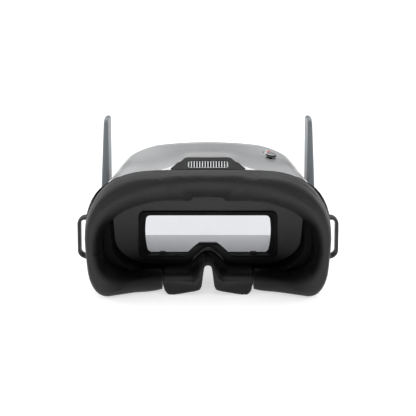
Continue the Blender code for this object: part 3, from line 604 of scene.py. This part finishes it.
def build_housing():
    slope = [HOUSING_REAR + (RIDGE_CREST - HOUSING_REAR) * i / 8 for i in range(9)]
    rows = slope + [-11.0, -9.5] + [-8 + 56.0 * i / 26 for i in range(27)]
    rows[-1] = HOUSING_FRONT
    outer = [housing_ring(y, 0) for y in rows]
    outer[0] = housing_ring(HOUSING_REAR, 0.35)
    outer.insert(1, housing_ring(HOUSING_REAR + 0.35, 0))
    outer[-1] = housing_ring(HOUSING_FRONT - 0.3, 0)
    outer.append(housing_ring(HOUSING_FRONT, 0.3))
    inner_rows = (HOUSING_FRONT, 40, 30, 20, 10, 0, RIDGE_CREST, HOUSING_REAR)
    inner = [housing_ring(y, WALL, False) for y in inner_rows]
    shell = ring("housing_shell", outer + inner, "silver", sharp=SHELL_SHARP)
    bore = [(3.0, -12.0), (3.0, 2.0)]
    holes = [disc("pivot_hole", bore, "silver", pivot_place(sign)) for _, sign in SIDES]
    duct = vent_place() @ at(0, 0, VENT_MIDDLE)
    holes.append(soft_block("vent_duct", (29.0, 24.0, 4.0), "silver", duct, 1.0))
    bore = [(3.8, -5.0), (3.8, 0.6), (4.1, 1.0), (4.1, 5.0)]
    holes.append(disc("joystick_hole", bore, "silver", controls_place(JOYSTICK_Y)))
    bore = [(4.85, -5.0), (4.85, -0.3), (5.2, 0.3), (5.2, 5.0)]
    holes.append(disc("record_hole", bore, "silver", controls_place(RECORD_Y)))
    for _, sign, y, width, height in port_specs():
        place = at(sign * 76, y, PORT_Z, turned(90, "Y"))
        if width == height:
            radius = width / 2 + GAP
            holes.append(disc("port_hole", [(radius, -10.0), (radius, 10.0)], "silver", place))
        else:
            size = (height + 2 * GAP, width + 2 * GAP, 20.0)
            holes.append(soft_block("port_hole", size, "silver", place, 1.0))
    carve(shell, holes, sharp=SHELL_SHARP)
    show(shell, "goggles", "silver_plastic", "main_housing")


def panel_outline(inset):
    low, high = PANEL_LOW + inset, PANEL_HIGH - inset
    corner = round_corner(PANEL_CORNER - inset)
    return whole(half_outline(PANEL_HALF_WIDTH - inset, low, high, corner, corner, 10.0, 0.0))


def build_cover():
    def rim(y, inset):
        past = max(y - COVER_FACE + COVER_EDGE, 0.0)
        inset += COVER_EDGE - math.sqrt(COVER_EDGE**2 - past**2)
        return lifted(housing_outline(min(y, COVER_FACE - 0.6), inset), y)

    start = HOUSING_FRONT + GAP
    side = start + 0.3
    rings = [rim(start + COVER_RECESS, WALL + 1.0), rim(start, WALL), rim(start, 0.3)]
    for share in (0.0, 0.2, 0.4, 0.55, 0.68, 0.78, 0.86, 0.92, 0.965, 1.0):
        rings.append(rim(side + (COVER_FACE - side) * share, 0))
    cover = sweep("cover_shell", rings, "silver", sharp=SHELL_SHARP)
    holes = []
    profile = [(1.15, -8.0), (1.15, -1.8), (2.5, -1.8), (2.5, -0.3), (2.9, 0.3), (2.9, 1.0)]
    for x, z in COVER_SCREWS:
        for _, sign in SIDES:
            holes.append(disc("screw_seat", profile, "silver", along_y(sign * x, COVER_FACE, z), 24))
    outline = panel_outline(-PANEL_SEAT)
    holes.append(sweep("panel_seat", [lifted(outline, y) for y in (COVER_FACE - 0.2, 60.0)], "silver"))
    carve(cover, holes, sharp=SHELL_SHARP)
    show(cover, "goggles", "silver_plastic", "front_cover")

    face = COVER_FACE + GAP
    steps = ((0, face), (0, face + 0.4), (0.15, face + 0.7), (0.5, 55.9), (1.1, 56.0))
    layers = [lifted(panel_outline(inset), y) for inset, y in steps]
    front = sweep("panel_cover", layers, "gloss")
    grooves = []
    for z in (32.0, 36.0, 40.0, 44.0):
        place = at(0, 56.1, z, turned(90, "X"))
        grooves.append(soft_block("groove", (44.0, 1.2, 1.2), "gloss", place, 0.6, 0.2))
    carve(front, grooves)
    show(front, "goggles", "black_plastic", "front_panel")


def build_screws():
    profile = [(1.0, -9.0), (1.0, 0.0), (2.2, 0.0), (2.2, 0.9), (2.0, 1.15), (1.6, 1.28), (0.8, 1.32)]
    spots = [(sign * x, z) for sign in (-1, 1) for x, z in COVER_SCREWS]
    for number, (x, z) in enumerate(spots, 1):
        place = along_y(x, COVER_FACE - 1.7, z)
        head = disc("screw_head_%d" % number, profile, "steel", place, 32)
        slots = []
        for angle in (0, 90):
            slot_place = place @ at(0, 0, 1.2, turned(angle, "Z"))
            slots.append(soft_block("slot", (2.2, 0.5, 1.2), "steel", slot_place, 0.1, 0.1))
        carve(head, slots)
        show(head, "goggles", "steel", "cover_screw_%d" % number)


def build_vent():
    place = vent_place()
    rear = -GAP - VENT_PLATE

    def plate(inset, y, low):
        high = VENT_HIGH
        slope = [(28.0, low), (27.4, low + 0.7), (25.5, low + 2.6), (22.8, low + 5.5), (20.0, high - 3.1),
                 (18.3, high - 1.3), (16.6, high - 0.25), (14.0, high)]
        side = [(p.x, p.y) for p in curve_through([(x, z, 0) for x, z in slope], 28)]
        half = [(2.8 * i, low) for i in range(10)] + side + [(14.0 - 1.4 * i, high) for i in range(1, 11)]
        middle = (low + high) / 2
        points = []
        for x, z in whole(half):
            away = Vector((x, z - middle))
            scale = 1 - inset / max(away.length, 3.0)
            points.append((away.x * scale, y, middle + away.y * scale))
        return points

    layers = [plate(0.5, rear, VENT_LOW), plate(0.15, rear + 0.12, VENT_LOW),
              plate(0, rear + 0.45, VENT_LOW + 0.6), plate(0, -GAP, VENT_LOW + 2.25)]
    cover = sweep("vent_bezel", layers, "bezel", place=place)
    seat = place @ at(0, 0, VENT_MIDDLE) @ turned(90, "X")
    carve(cover, [soft_block("opening", (30.8, 6.8, 8.0), "bezel", seat, 1.6)])
    show(cover, "goggles", "black_plastic", "vent_cover")
    front = seat @ at(0, 0, -rear - 0.65)
    grille = soft_block("grille_bars", (30.2, 6.2, 1.1), "trim", front, 1.5, 0.2)
    slots = []
    for i in range(VENT_SLOTS):
        slot_place = front @ at((i - (VENT_SLOTS - 1) / 2) * VENT_PITCH, 0.12, 0)
        slots.append(soft_block("slot", (1.35, 5.75, 6.0), "trim", slot_place, 0.5, 0.05))
    carve(grille, slots)
    show(grille, "goggles", "silver_trim", "vent_grille")
    backing = soft_block("vent_mesh", (29.4, 5.6, 0.2), "dull", seat @ at(0, 0, -rear - 1.4), 1.0, 0.05)
    show(backing, "goggles", "black_plastic")


def build_ports():
    mouths = {"av_jack": 2.3, "dc_jack": 2.8}
    half = PORT_DEPTH / 2
    for name, sign, y, width, height in port_specs():
        edge = half_width_at(y + width / 2) - 0.4
        place = at(sign * (edge - half), y, PORT_Z, turned(90 * sign, "Y"))
        if name in mouths:
            r, mouth = width / 2, mouths[name]
            profile = [(r, -half), (r, half - 0.3), (r - 0.3, half), (mouth + 0.3, half),
                       (mouth, half - 0.3), (mouth, -2.0)]
            port = disc(name + "_detail", profile, "black", place, 40)
            pin = disc(name + "_pin", [(0.6, -2.4), (0.6, 1.6), (0.35, 2.0)], "alloy", place, 20)
        else:
            port = soft_block(name + "_detail", (height, width, PORT_DEPTH), "black", place, 0.8, 0.2)
            size = (height - 1.4, width - 1.6, PORT_DEPTH)
            carve(port, [soft_block("mouth", size, "black", place @ at(0, 0, 2.0), 0.4)])
            size = (0.6, width - 4.0, 4.6)
            pin = soft_block(name + "_pin", size, "alloy", place @ at(0, 0, 0.1), 0.2, 0.1)
        show(port, "goggles", "black_plastic", name)
        show(pin, "goggles", "steel")


# ------------------------------ face side


def foam_outline(nose_half=GUARD_HALF_WIDTH + 2 * GAP, nose_rise=0.0, flat=0.28):
    low, high = (13.0, 30.0, 2.5), (52.0, 54.0, 2.6)
    return half_outline(FOAM_HALF_WIDTH, 0.0, FOAM_TOP, low, high, nose_half, nose_rise, flat)


def foam_lip():
    """The foam's inner edge, with a shallow notch in the middle of its top."""
    low, high = (20.0, 24.0, 2.4), (64.0, 36.0, 2.7)
    half = half_outline(80.6, 14.5, 75.6, low, high, GUARD_HALF_WIDTH + 2 * GAP, 0.0)
    return [(x, z + 3.4 * smooth_step((14.0 - x) / 4.0) if z > 70 else z) for x, z in half]


# (share of the way from the outer edge to the inner one, share of the depth) round the foam's section
FOAM_SECTION = ((0.04, 0.0), (0.012, 0.05), (0.0, 0.12), (0.0, 0.3), (0.0, 0.62), (0.07, 0.86), (0.25, 1.0),
                (0.48, 0.97), (0.76, 0.8), (0.96, 0.54), (1.0, 0.36), (0.995, 0.15), (0.98, 0.0))


def build_foam():
    outer, inner = whole(foam_outline()), whole(foam_lip())
    profile = curve_through([(a, d, 0) for a, d in FOAM_SECTION], 44)
    pairs = list(zip(outer, inner))[NOSE_STEPS:len(outer) - NOSE_STEPS + 1]
    sections = []
    for index, ((x0, z0), (x1, z1)) in enumerate(pairs):
        near_end = min(index, len(pairs) - 1 - index)
        shrink = (0.06, 0.025, 0.008, 0.0)[min(near_end, 3)]
        section = []
        for p in profile:
            across, deep = p.x + shrink * (0.5 - p.x) * 2, max(p.y, 0.0) * (1 - shrink)
            x, z = x0 + (x1 - x0) * across, z0 + (z1 - z0) * across
            base = base_y(x) - FOAM_BACKING
            depth = base - FOAM_REAR + FOAM_REAR_BEND * x * x
            section.append((x, base - depth * deep * (0.86 + 0.14 * smooth_step(z / 30)), z))
        sections.append(section)
    foam = sweep("face_foam", sections, "foam", sharp=50)
    puff(foam, len(profile))

    # Painted shade: the foam darkens to near black towards its inner wall, less at the top, where the cavity
    # is in shade.
    def painted_shade(index, spot):
        start = 0.6 - 0.16 * smooth_step((spot.z - 10) / 30)
        inwards = smooth_step((profile[index % len(profile)].x - start) / 0.34)
        return inwards * (1 - 0.55 * smooth_step((spot.z - 62) / 14))

    paint_shade(foam, painted_shade)
    show(foam, "goggles", "foam_skin", "foam_cushion")


def puff(foam, across):
    """Inflates the skin a little by cloth simulation, held along its base, and caps how far it may move."""
    rest = [v.co.copy() for v in foam.data.vertices]
    last_step, most = 16, 1.1 * MM
    pins = foam.vertex_groups.new(name="held")
    rows = len(rest) // across
    for index in range(len(rest)):
        row, column = divmod(index, across)
        edge = min(column, across - 1 - column)
        end = min(row, rows - 1 - row)
        weight = 1.0 if edge < 2 or end < 1 else 0.25 if edge < 4 else 0.0
        if weight:
            pins.add([index], weight, "REPLACE")
    cloth = foam.modifiers.new("cloth", "CLOTH")
    skin = cloth.settings
    skin.quality = 5
    skin.mass = 0.2
    skin.tension_stiffness = skin.compression_stiffness = 12
    skin.shear_stiffness = 6
    skin.bending_stiffness = 0.3
    skin.shrink_min = -0.012
    skin.use_pressure = True
    skin.uniform_pressure_force = 2.5
    skin.vertex_group_mass = "held"
    skin.effector_weights.gravity = 0
    cloth.point_cache.frame_start = 1
    cloth.point_cache.frame_end = last_step
    scene = bpy.context.scene
    for step in range(1, last_step + 1):
        scene.frame_set(step)
    graph = bpy.context.evaluated_depsgraph_get()
    moved = [v.co.copy() for v in foam.evaluated_get(graph).data.vertices]
    foam.modifiers.clear()
    scene.frame_set(1)
    for vertex, start, end in zip(foam.data.vertices, rest, moved):
        move = end - start
        if move.length > most:
            move *= most / move.length
        vertex.co = start + move
    foam.data.update()


def rim_outline(extra=0.0):
    """The carrier's edge: the foam's outline, standing out past it at the upper sides."""
    points = []
    for x, z in foam_outline(21.0, NOSE_RISE - 0.4, 0.2):
        bulge = RIM_BULGE * smooth_step((z - 24) / 16) * (1 - 0.25 * smooth_step((z - 45) / 20))
        bulge *= 1 - smooth_step((z - 86) / 13)
        points.append((x + (bulge - extra) * x / FOAM_HALF_WIDTH,
                       0.5 + extra * 0.4 + z * (RIM_TOP - 0.5 - extra) / FOAM_TOP))
    return whole(points)


def build_carrier():
    inside = whole(half_outline(75.1, 9.0, 85.2, round_corner(30.0), round_corner(26.0), 19.0, 11.4, 0.06))
    outside = whole(half_outline(76.6, 7.2, 86.7, round_corner(31.5), round_corner(27.5), 20.0, 11.4, 0.06))
    rim, rim_in = rim_outline(), rim_outline(0.6)

    def off(depth):
        return lambda x, z: base_y(x) + depth

    def wall_end(x, z):
        return plate_y(x, z) + 3.6

    steps = ((mixed(rim_in, inside, 0.5), off(0.0)), (rim_in, off(0.0)), (rim, off(0.6)),
             (rim, off(FLANGE - 0.6)), (rim_in, off(FLANGE)), (mixed(rim_in, outside, 0.5), off(FLANGE)),
             (outside, off(FLANGE)), (outside, wall_end), (inside, wall_end), (inside, off(0.6)),
             (mixed(inside, rim_in, 0.03), off(0.0)))
    layers = [lifted(outline, height) for outline, height in steps]
    carrier = ring("eyecup_plate", layers, "black")
    ears, bores = [], []
    for _, sign in SIDES:
        for end in (-1, 1):
            place = loop_place(sign) @ at(0, 0, end * (LOOP_HALF + GAP + EAR / 2))
            ear_place = place @ at(-sign * 2.45, -2.4, 0)
            ears.append(soft_block("ear", (10.1, 9.6, EAR), "black", ear_place, 2.6, 0.4))
            bores.append(disc("ear_bore", [(1.2, -EAR), (1.2, EAR)], "black", place, 24))
    carve(carrier, ears, "UNION")
    carve(carrier, bores)
    # Painted shade: the carrier is darkened to near black inside its outer rim, on its wall in the cavity.
    paint_shade(carrier, lambda index, spot: float(abs(spot.x) < 86 and 4 < spot.z < 93))
    show(carrier, "goggles", "black_plastic", "face_carrier")


def window_outline(grow):
    """The visible window, with the nose notch in its lower edge."""
    corner = round_corner(3.0 + grow * 0.5)
    half = half_outline(51.9 + grow, 17.3 - grow, 51.6 + grow, corner, corner, 13.5, 8.6, 0.58)
    return whole([(x * (1 - 0.034 * ((z - 34) / 17) ** 2) if x > 40 else x, z) for x, z in half])


def opening_outline(inset):
    """The lens frame's opening, which narrows a little towards its top."""
    corner = round_corner(5.0 - inset * 0.5)
    half = half_outline(57.7 - inset, 15.8 + inset, 58.6 - inset, corner, corner, 22.0 - inset, 11.5)
    return whole([(x * (1 - 0.0416 * (z - 14.0) / 44.6), z) for x, z in half])


def build_lens_frame():
    outer = whole(half_outline(74.7, 9.4, 84.8, round_corner(29.6), round_corner(25.6), 20.0, 16.3, 0.0))
    inner = opening_outline(0.0)
    shares = (0.0, 0.012, 0.03, 0.1, 0.2, 0.32, 0.45, 0.6, 0.75, 0.9, 0.985, 1.0)
    drops = (0.5, 0.12, 0.0, 0, 0, 0, 0, 0, 0, 0, 0.08, 0.45)

    def layer(share, drop, thick):
        return [(x, plate_y(x, z) + drop + thick, z) for x, z in mixed(outer, inner, share)]

    layers = [layer(share, drop, 0.0) for share, drop in zip(shares, drops)]
    layers += [layer(share, 0.0, PLATE) for share in shares[::-1]]
    plate = ring("lens_plate", layers, "frame", sharp=50)
    # Painted shade: the plate is darkened more and more below its middle.
    paint_shade(plate, lambda index, spot: 0.25 * (1 - smooth_step((spot.z - 34) / 26)))
    show(plate, "goggles", "black_plastic", "lens_frame")

    # The nose lip: a real raised bead, whose lighter grey partly paints the highlight along its edge.
    steps = [LIP_HALF * i / 20 for i in range(-20, 21)]
    lip = [(x, LIP_Y, LIP_TOP - LIP_BEND * x * x) for x in steps]
    tube("nose_lip", lip, 0.7, "bead", "soft_rubber")


def tube(name, line, radius, look, slot):
    """A round bead along a line of points in millimetres, thinner at its ends."""
    line = [Vector(p) for p in line]
    turns = [math.tau * k / 12 for k in range(12)]
    sections = []
    for i, point in enumerate(line):
        ahead = (line[min(i + 1, len(line) - 1)] - line[max(i - 1, 0)]).normalized()
        across = ahead.cross(Vector((0, 1, 0))).normalized()
        up = across.cross(ahead)
        r = radius * min(1.0, 0.3 + 0.35 * min(i, len(line) - 1 - i))
        sections.append([point + (across * math.cos(a) + up * math.sin(a)) * r for a in turns])
    return show(sweep(name, sections, look), "goggles", slot)


def build_optics():
    glass_edge = LENS_REAR - GAP
    rings = [lifted(opening_outline(GAP), GASKET_REAR + 0.4), lifted(opening_outline(GAP), -7.5),
             lifted(window_outline(2.6), glass_edge), lifted(window_outline(0.0), glass_edge),
             lifted(window_outline(0.0), glass_edge - 0.5), lifted(window_outline(0.3), glass_edge - 0.8),
             lifted(opening_outline(2.1), GASKET_REAR + 0.3), lifted(opening_outline(1.7), GASKET_REAR),
             lifted(opening_outline(0.7), GASKET_REAR)]
    show(ring("gasket_bellows", rings, "dull"), "goggles", "soft_rubber", "lens_gasket")
    for name, sign in SIDES:
        clip = soft_block("clip_" + name, (5.0, 1.1, 1.8), "black",
                          at(sign * 38.0, glass_edge - 1.6, 18.3, turned(90, "X")), 0.4, 0.3)
        show(clip, "goggles", "black_plastic", "lens_clip_" + name)

    def lens(inset, y):
        return lifted(window_outline(1.6 - inset), y)

    front = LENS_REAR + LENS
    layers = [lens(0.3, LENS_REAR), lens(0, LENS_REAR + 0.3), lens(0, front - 0.3), lens(0.3, front)]
    glass = sweep("clear_pane", layers, "glass")
    show(glass, "goggles", "clear_lens", "lens")


def tunnel_ring(y, grow):
    t = (y - TUNNEL_REAR) / (TUNNEL_FRONT - TUNNEL_REAR)
    corner = round_corner(1.0 + grow)
    rise = 9.4 * (1 - smooth_step(t * 1.6))
    half = half_outline(54.2 + 4.2 * t + grow, 15.9 + 0.7 * t - grow, 54.4 + 4.4 * t + grow, corner, corner,
                        13.5 + grow, rise, 0.5)
    return lifted(whole(half), y)


def build_tunnel():
    rows = [TUNNEL_REAR + (TUNNEL_FRONT - TUNNEL_REAR) * i / 16 for i in range(17)]
    layers = [tunnel_ring(y, 1.5) for y in (TUNNEL_REAR, 7.0, 16.0, TUNNEL_FRONT)]
    layers += [tunnel_ring(y, 0.0) for y in rows[::-1]]
    show(ring("light_shroud", layers, "pale"), "goggles", "pale_plastic", "light_tunnel")


def guard_path(x):
    """(y, z) of the guard's upper skin at x: from the plate over the crest and down to its foot."""
    x = abs(x)
    start = 11.7 + 13.6 * bell(x / 20, 0.0)
    crest = 12.4 + 13.8 * bell(min(x / 13, 1.0), 0.0)
    corner = max(x - 32, 0.0) / 4
    foot = 4.9 * (1 - min(max((x - 6) / 26, 0.0), 1.0)) + 3.4 * (1 - math.sqrt(1 - corner**2))
    dip = 1.7 * bell(min(x / 13, 1.0), 0.0)
    return [(-16.0, start), (-21.0, start + (crest - start) * 0.12 - dip * 0.4),
            (-25.2, start + (crest - start) * 0.36 - dip), (-30.0, crest - 0.3), (-33.0, crest - 0.7),
            (-36.0, crest - 2.5), (-38.8, crest * 0.66 + foot * 0.2),
            (-41.6, crest * 0.38 + foot * 0.5), (-44.2, foot)]


def build_nose_guard():
    sections = []
    for i in range(81):
        x = GUARD_HALF_WIDTH * math.sin(math.radians((i - 40) * 2.25))
        path = [(p.x, p.y) for p in curve_through([(y, z, 0) for y, z in guard_path(x)], 36)]
        under = []
        last = len(path) - 1
        for k, (y, z) in enumerate(path):
            ahead, behind = path[min(k + 1, last)], path[max(k - 1, 0)]
            along = Vector((ahead[0] - behind[0], ahead[1] - behind[1])).normalized()
            under.append((y - along.y * GUARD_SHEET, max(z + along.x * GUARD_SHEET, 0.0)))
        sections.append([(x * (1 - 0.1 * smooth_step((8 - z) / 8)), y, z) for y, z in path + under[::-1]])
    guard = sweep("nose_flaps", sections, "rubber")
    slit = [(9.5, -6.0), (8.2, 4.2), (6.3, 4.9), (5.2, 6.5), (4.6, 9.0), (4.1, 13.0), (3.5, 17.0),
            (2.9, 20.2), (2.0, 21.9), (0.0, 22.5)]
    slit += [(-x, z) for x, z in slit[-2::-1]]
    carve(guard, [sweep("slit", [[(x, y, z) for x, z in slit] for y in (-60, -26)], "rubber")])
    remesh = guard.modifiers.new("soften", "REMESH")
    remesh.mode = "VOXEL"
    remesh.voxel_size = 0.55 * MM
    smooth = guard.modifiers.new("round", "SMOOTH")
    smooth.iterations = 5
    smooth.factor = 0.5
    apply_modifiers(guard)
    guard.data.shade_smooth()
    guard.data.materials.clear()
    guard.data.materials.append(LOOKS["rubber"])
    # Painted shade: the guard's top, from the plate to its crest, is darkened to near black, where the
    # cavity is in shade.
    paint_shade(guard, lambda index, spot: smooth_step((spot.y + 36.5) / 4.5) * 0.95)
    show(guard, "goggles", "soft_rubber", "nose_guard")


# ------------------------------ antennas, loops and controls


def antenna_outline(inset):
    """The blade seen from its side, from the round foot on its pivot to the tip with rounded corners."""
    foot, tip, round_tip = 8.0 - inset, 7.0 - inset, 3.4
    points = []
    for i in range(25):
        a = math.pi / 2 + math.pi * i / 24
        points.append((foot * math.cos(a), foot * math.sin(a)))
    end = ANTENNA_LENGTH - inset
    reach = end - round_tip - 8
    for side in (-1, 1):
        straight = [(8 + reach * i / 12, side * (foot + (tip - foot) * (i / 12))) for i in range(12)]
        arc = []
        for i in range(9):
            a = math.pi / 16 * i
            arc.append((end - round_tip * (1 - math.sin(a)), side * (tip - round_tip * (1 - math.cos(a)))))
        points += straight + arc if side < 0 else arc[::-1] + straight[::-1]
    return points


def build_antennas():
    def skin(along):
        return ANTENNA_FOOT + (ANTENNA_TIP - ANTENNA_FOOT) * max(along, 0) / ANTENNA_LENGTH

    def back(along):
        return ANTENNA_TAPER * max(along - 10, 0) / (ANTENNA_LENGTH - 10)

    quarter = [math.pi / 12 * i for i in range(7)]
    for name, sign in SIDES:
        place = pivot_place(sign)
        layers = []
        for a in quarter:
            outline = antenna_outline(BACK_EDGE * (1 - math.sin(a)))
            layers.append([(p, q, back(p) + BACK_EDGE * (1 - math.cos(a))) for p, q in outline])
        for a in quarter:
            outline = antenna_outline(SKIN_EDGE * (1 - math.cos(a)))
            layers.append([(p, q, skin(p) - SKIN_EDGE * (1 - math.sin(a))) for p, q in outline])
        blade = sweep("blade_" + name, layers, "antenna", place=place)
        seat = ANTENNA_FOOT - ANTENNA_SEAT
        bore = [(3.0, -2.0), (3.0, seat), (5.5, seat), (5.5, ANTENNA_FOOT - 0.3),
                (5.9, ANTENNA_FOOT + 0.2), (5.9, ANTENNA_FOOT + 2)]
        groove_place = place @ at(44.0, 0, skin(44.0) + 0.05, turned(2.02, "Y"))
        groove = soft_block("groove", (46.0, 6.0, 0.6), "antenna", groove_place, 1.6, 0.15)
        carve(blade, [disc("bore", bore, "antenna", place), groove])
        show(blade, name + "_antenna", "antenna_plastic", "antenna_" + name)
        seat += GAP
        pin = [(4.6, -8.4), (4.6, -6.9), (2.94, -6.9), (2.94, seat), (5.2, seat), (5.2, seat + 0.8),
               (5.0, seat + 1.05), (4.6, seat + 1.2), (2.4, seat + 1.2), (2.1, seat + 1), (1.2, seat + 1)]
        pivot = disc("pivot_cap_" + name, pin, "alloy", place, 64)
        show(pivot, "goggles", "steel", "antenna_pivot_" + name)


def rounded_box(x0, x1, z0, z1, radii):
    """A box's outline whose corners at x0 have the first radius and those at x1 the second."""
    inner, outer = radii
    corners = ((x0, z0, inner, 180, 1, 1), (x1, z0, outer, 270, -1, 1), (x1, z1, outer, 0, -1, -1),
               (x0, z1, inner, 90, 1, -1))
    points = []
    for x, z, r, start, dx, dz in corners:
        for i in range(13):
            a = math.radians(start + 7.5 * i)
            points.append((x + dx * r + r * math.cos(a), z + dz * r + r * math.sin(a)))
    return points


def build_loops():
    outer = (-2.0, 11.0, LOOP_HALF, (1.8, 7.0))
    hole = (2.0, 8.4, LOOP_HALF - 2.8, (1.2, 4.4))
    for name, sign in SIDES:
        def layer(inset, depth, box):
            x0, x1, half, radii = box
            shape = rounded_box(x0 + inset, x1 - inset, inset - half, half - inset, radii)
            return [(sign * px, depth, pz) for px, pz in shape]

        layers = []
        for box, turn, grow in ((outer, 1, 1.1), (hole, -1, -0.9)):
            for i in range(7):
                a = (math.pi / 6 * i - math.pi / 2) * turn
                depth = 3.0 * math.copysign(abs(math.sin(a)) ** 0.6, math.sin(a)) if i != 3 else 0.0
                layers.append(layer(grow * (1 - abs(math.cos(a)) ** 0.5), depth, box))
        place = loop_place(sign)
        loop = sweep("band_loop_" + name, [list(p) for p in zip(*layers)], "black", True, place)
        carve(loop, [disc("bore", [(1.06, -30.0), (1.06, 30.0)], "black", place, 24)])
        show(loop, name + "_strap_loop", "black_plastic", "strap_loop_" + name)


def build_controls():
    spot = controls_place(RECORD_Y)
    cap = [(1.3, -5.4), (1.3, -3.5), (5.7, -3.5), (5.7, -2.6), (4.35, -2.6), (4.35, 0.1), (4.2, 0.45),
           (3.8, 0.7), (3.3, 0.74), (3.1, 0.45), (2.5, 0.45), (2.3, 0.74), (1.9, 0.76)]
    button = disc("key_cap", cap, "silver", spot, 64)
    carve(button, [disc("seat", [(1.6, 0.2), (1.6, 2.0)], "silver", spot, 32)])
    show(button, "record_key", "silver_plastic", "record_button")
    dot = disc("key_dot", [(1.3, 0.5), (1.3, 0.85), (1.2, 1.0), (1.0, 1.08), (0.5, 1.12)], "red", spot, 40)
    show(dot, "record_key", "red_plastic", "record_dot")

    spot = controls_place(JOYSTICK_Y)
    stick = [(1.0, GIMBAL_Z - 1.3), (1.0, 2.25), (1.6, 2.6), (4.3, 2.6), (4.5, 2.75), (4.5, 2.95),
             (4.2, 3.2), (3.5, 3.4)]
    show(disc("thumb_stick", stick, "black", spot, 64), "stick", "black_plastic", "joystick_stick")
    cap = [(3.1, 3.7), (3.6, 3.85), (3.7, 4.0), (3.7, 4.3), (3.4, 4.5), (2.9, 4.6), (1.9, 4.45), (0.9, 4.38)]
    top = disc("thumb_cap", cap, "trim", spot, 64)
    notches = []
    for angle in range(0, 360, 30):
        place = spot @ turned(angle, "Z") @ at(3.9, 0, 0)
        notches.append(disc("notch", [(0.3, 3.5), (0.3, 5.0)], "trim", place, 10))
    carve(top, notches)
    show(top, "stick", "silver_trim", "joystick_cap")


# ------------------------------ what stays from the CAD model

CARRIED = {"silver_plastic": "silver", "black_plastic": "black", "foam_skin": "foam",
           "soft_rubber": "rubber", "antenna_plastic": "antenna", "clear_lens": "glass",
           "pale_plastic": "pale", "screen": "screen", "silver_trim": "trim", "aluminium": "alloy",
           "steel": "steel", "circuit_board": "board", "red_plastic": "red"}


def dress_cad_nodes():
    """Every CAD node that still shows gets its slot's finish."""
    slots = {entry["node"]: entry["material_slot"] for entry in frame["record"]["subparts"]}
    for name, node in frame["nodes"].items():
        if node.hide_render:
            continue
        node.data.materials.clear()
        node.data.materials.append(LOOKS[CARRIED[slots[name]]])


# ------------------------------ floor, light and camera


FLOOR_HALF = 6.0
CAMERA_LENS = 45.7
CAMERA_PLACE = (0.0, -0.3933, 0.2390)
CAMERA_TILT = 65
# Each softbox: name, place, what it points at, size (all in metres) and power in watts
SOFTBOXES = (("left", (-0.9, 0.0, 0.45), (0, 0, 0.06), 0.6, 8.0),
             ("right", (0.9, 0.0, 0.45), (0, 0, 0.06), 0.6, 8.0),
             ("back_left", (-0.5, 1.5, 0.62), (0, 0, 0.1), 0.4, 0.5),
             ("back_right", (0.42, 1.5, 0.62), (0, 0, 0.1), 0.3, 0.2))


def build_floor():
    half = FLOOR_HALF
    mesh = bpy.data.meshes.new("floor")
    corners = [(-half, -half, 0), (half, -half, 0), (half, half, 0), (-half, half, 0)]
    mesh.from_pydata(corners, [], [(0, 1, 2, 3)])
    floor = link(bpy.data.objects.new("floor", mesh))
    made, tree, shader, add = new_material("floor_pale", {
        "Roughness": 0.8, "Specular IOR Level": 0.2, "Emission Color": (1, 1, 1, 1),
        "Emission Strength": 0.6})
    place = add("TexCoord").outputs["Object"]
    speckle = add("TexNoise", Vector=place, Scale=3.0).outputs["Fac"]
    tree.links.new(ramp(tree, add, speckle, [(0.3, 0.49), (0.7, 0.5)]), shader.inputs["Base Color"])
    mesh.materials.append(made)


def build_lights():
    world = bpy.data.worlds.new("studio")
    world.use_nodes = True
    background = world.node_tree.nodes["Background"]
    background.inputs["Color"].default_value = (1, 1, 1, 1)
    background.inputs["Strength"].default_value = 0.16
    bpy.context.scene.world = world
    sky = bpy.data.lights.new("overhead", "SUN")
    sky.energy = 2.6
    sky.angle = math.radians(70)
    overhead = link(bpy.data.objects.new("overhead", sky))
    overhead.rotation_euler = (math.radians(-14), 0, 0)
    for name, spot, aim, size, power in SOFTBOXES:
        light = bpy.data.lights.new("softbox_" + name, "AREA")
        light.size = size
        light.energy = power
        lamp = link(bpy.data.objects.new("softbox_" + name, light))
        lamp.location = spot
        lamp.rotation_euler = (Vector(aim) - Vector(spot)).to_track_quat("-Z", "Y").to_euler()


def build_camera():
    scene = bpy.context.scene
    lens = bpy.data.cameras.new("camera")
    lens.lens = CAMERA_LENS
    lens.clip_start = 0.01
    camera = link(bpy.data.objects.new("camera", lens))
    camera.location = CAMERA_PLACE
    camera.rotation_euler = (math.radians(CAMERA_TILT), 0, 0)
    scene.camera = camera
    scene.view_settings.view_transform = "Standard"
    scene.view_settings.look = "None"


build_floor()
build_lights()
build_camera()
build_housing()
build_cover()
build_screws()
build_vent()
build_ports()
build_foam()
build_carrier()
build_lens_frame()
build_optics()
build_tunnel()
build_nose_guard()
build_antennas()
build_loops()
build_controls()
dress_cad_nodes()
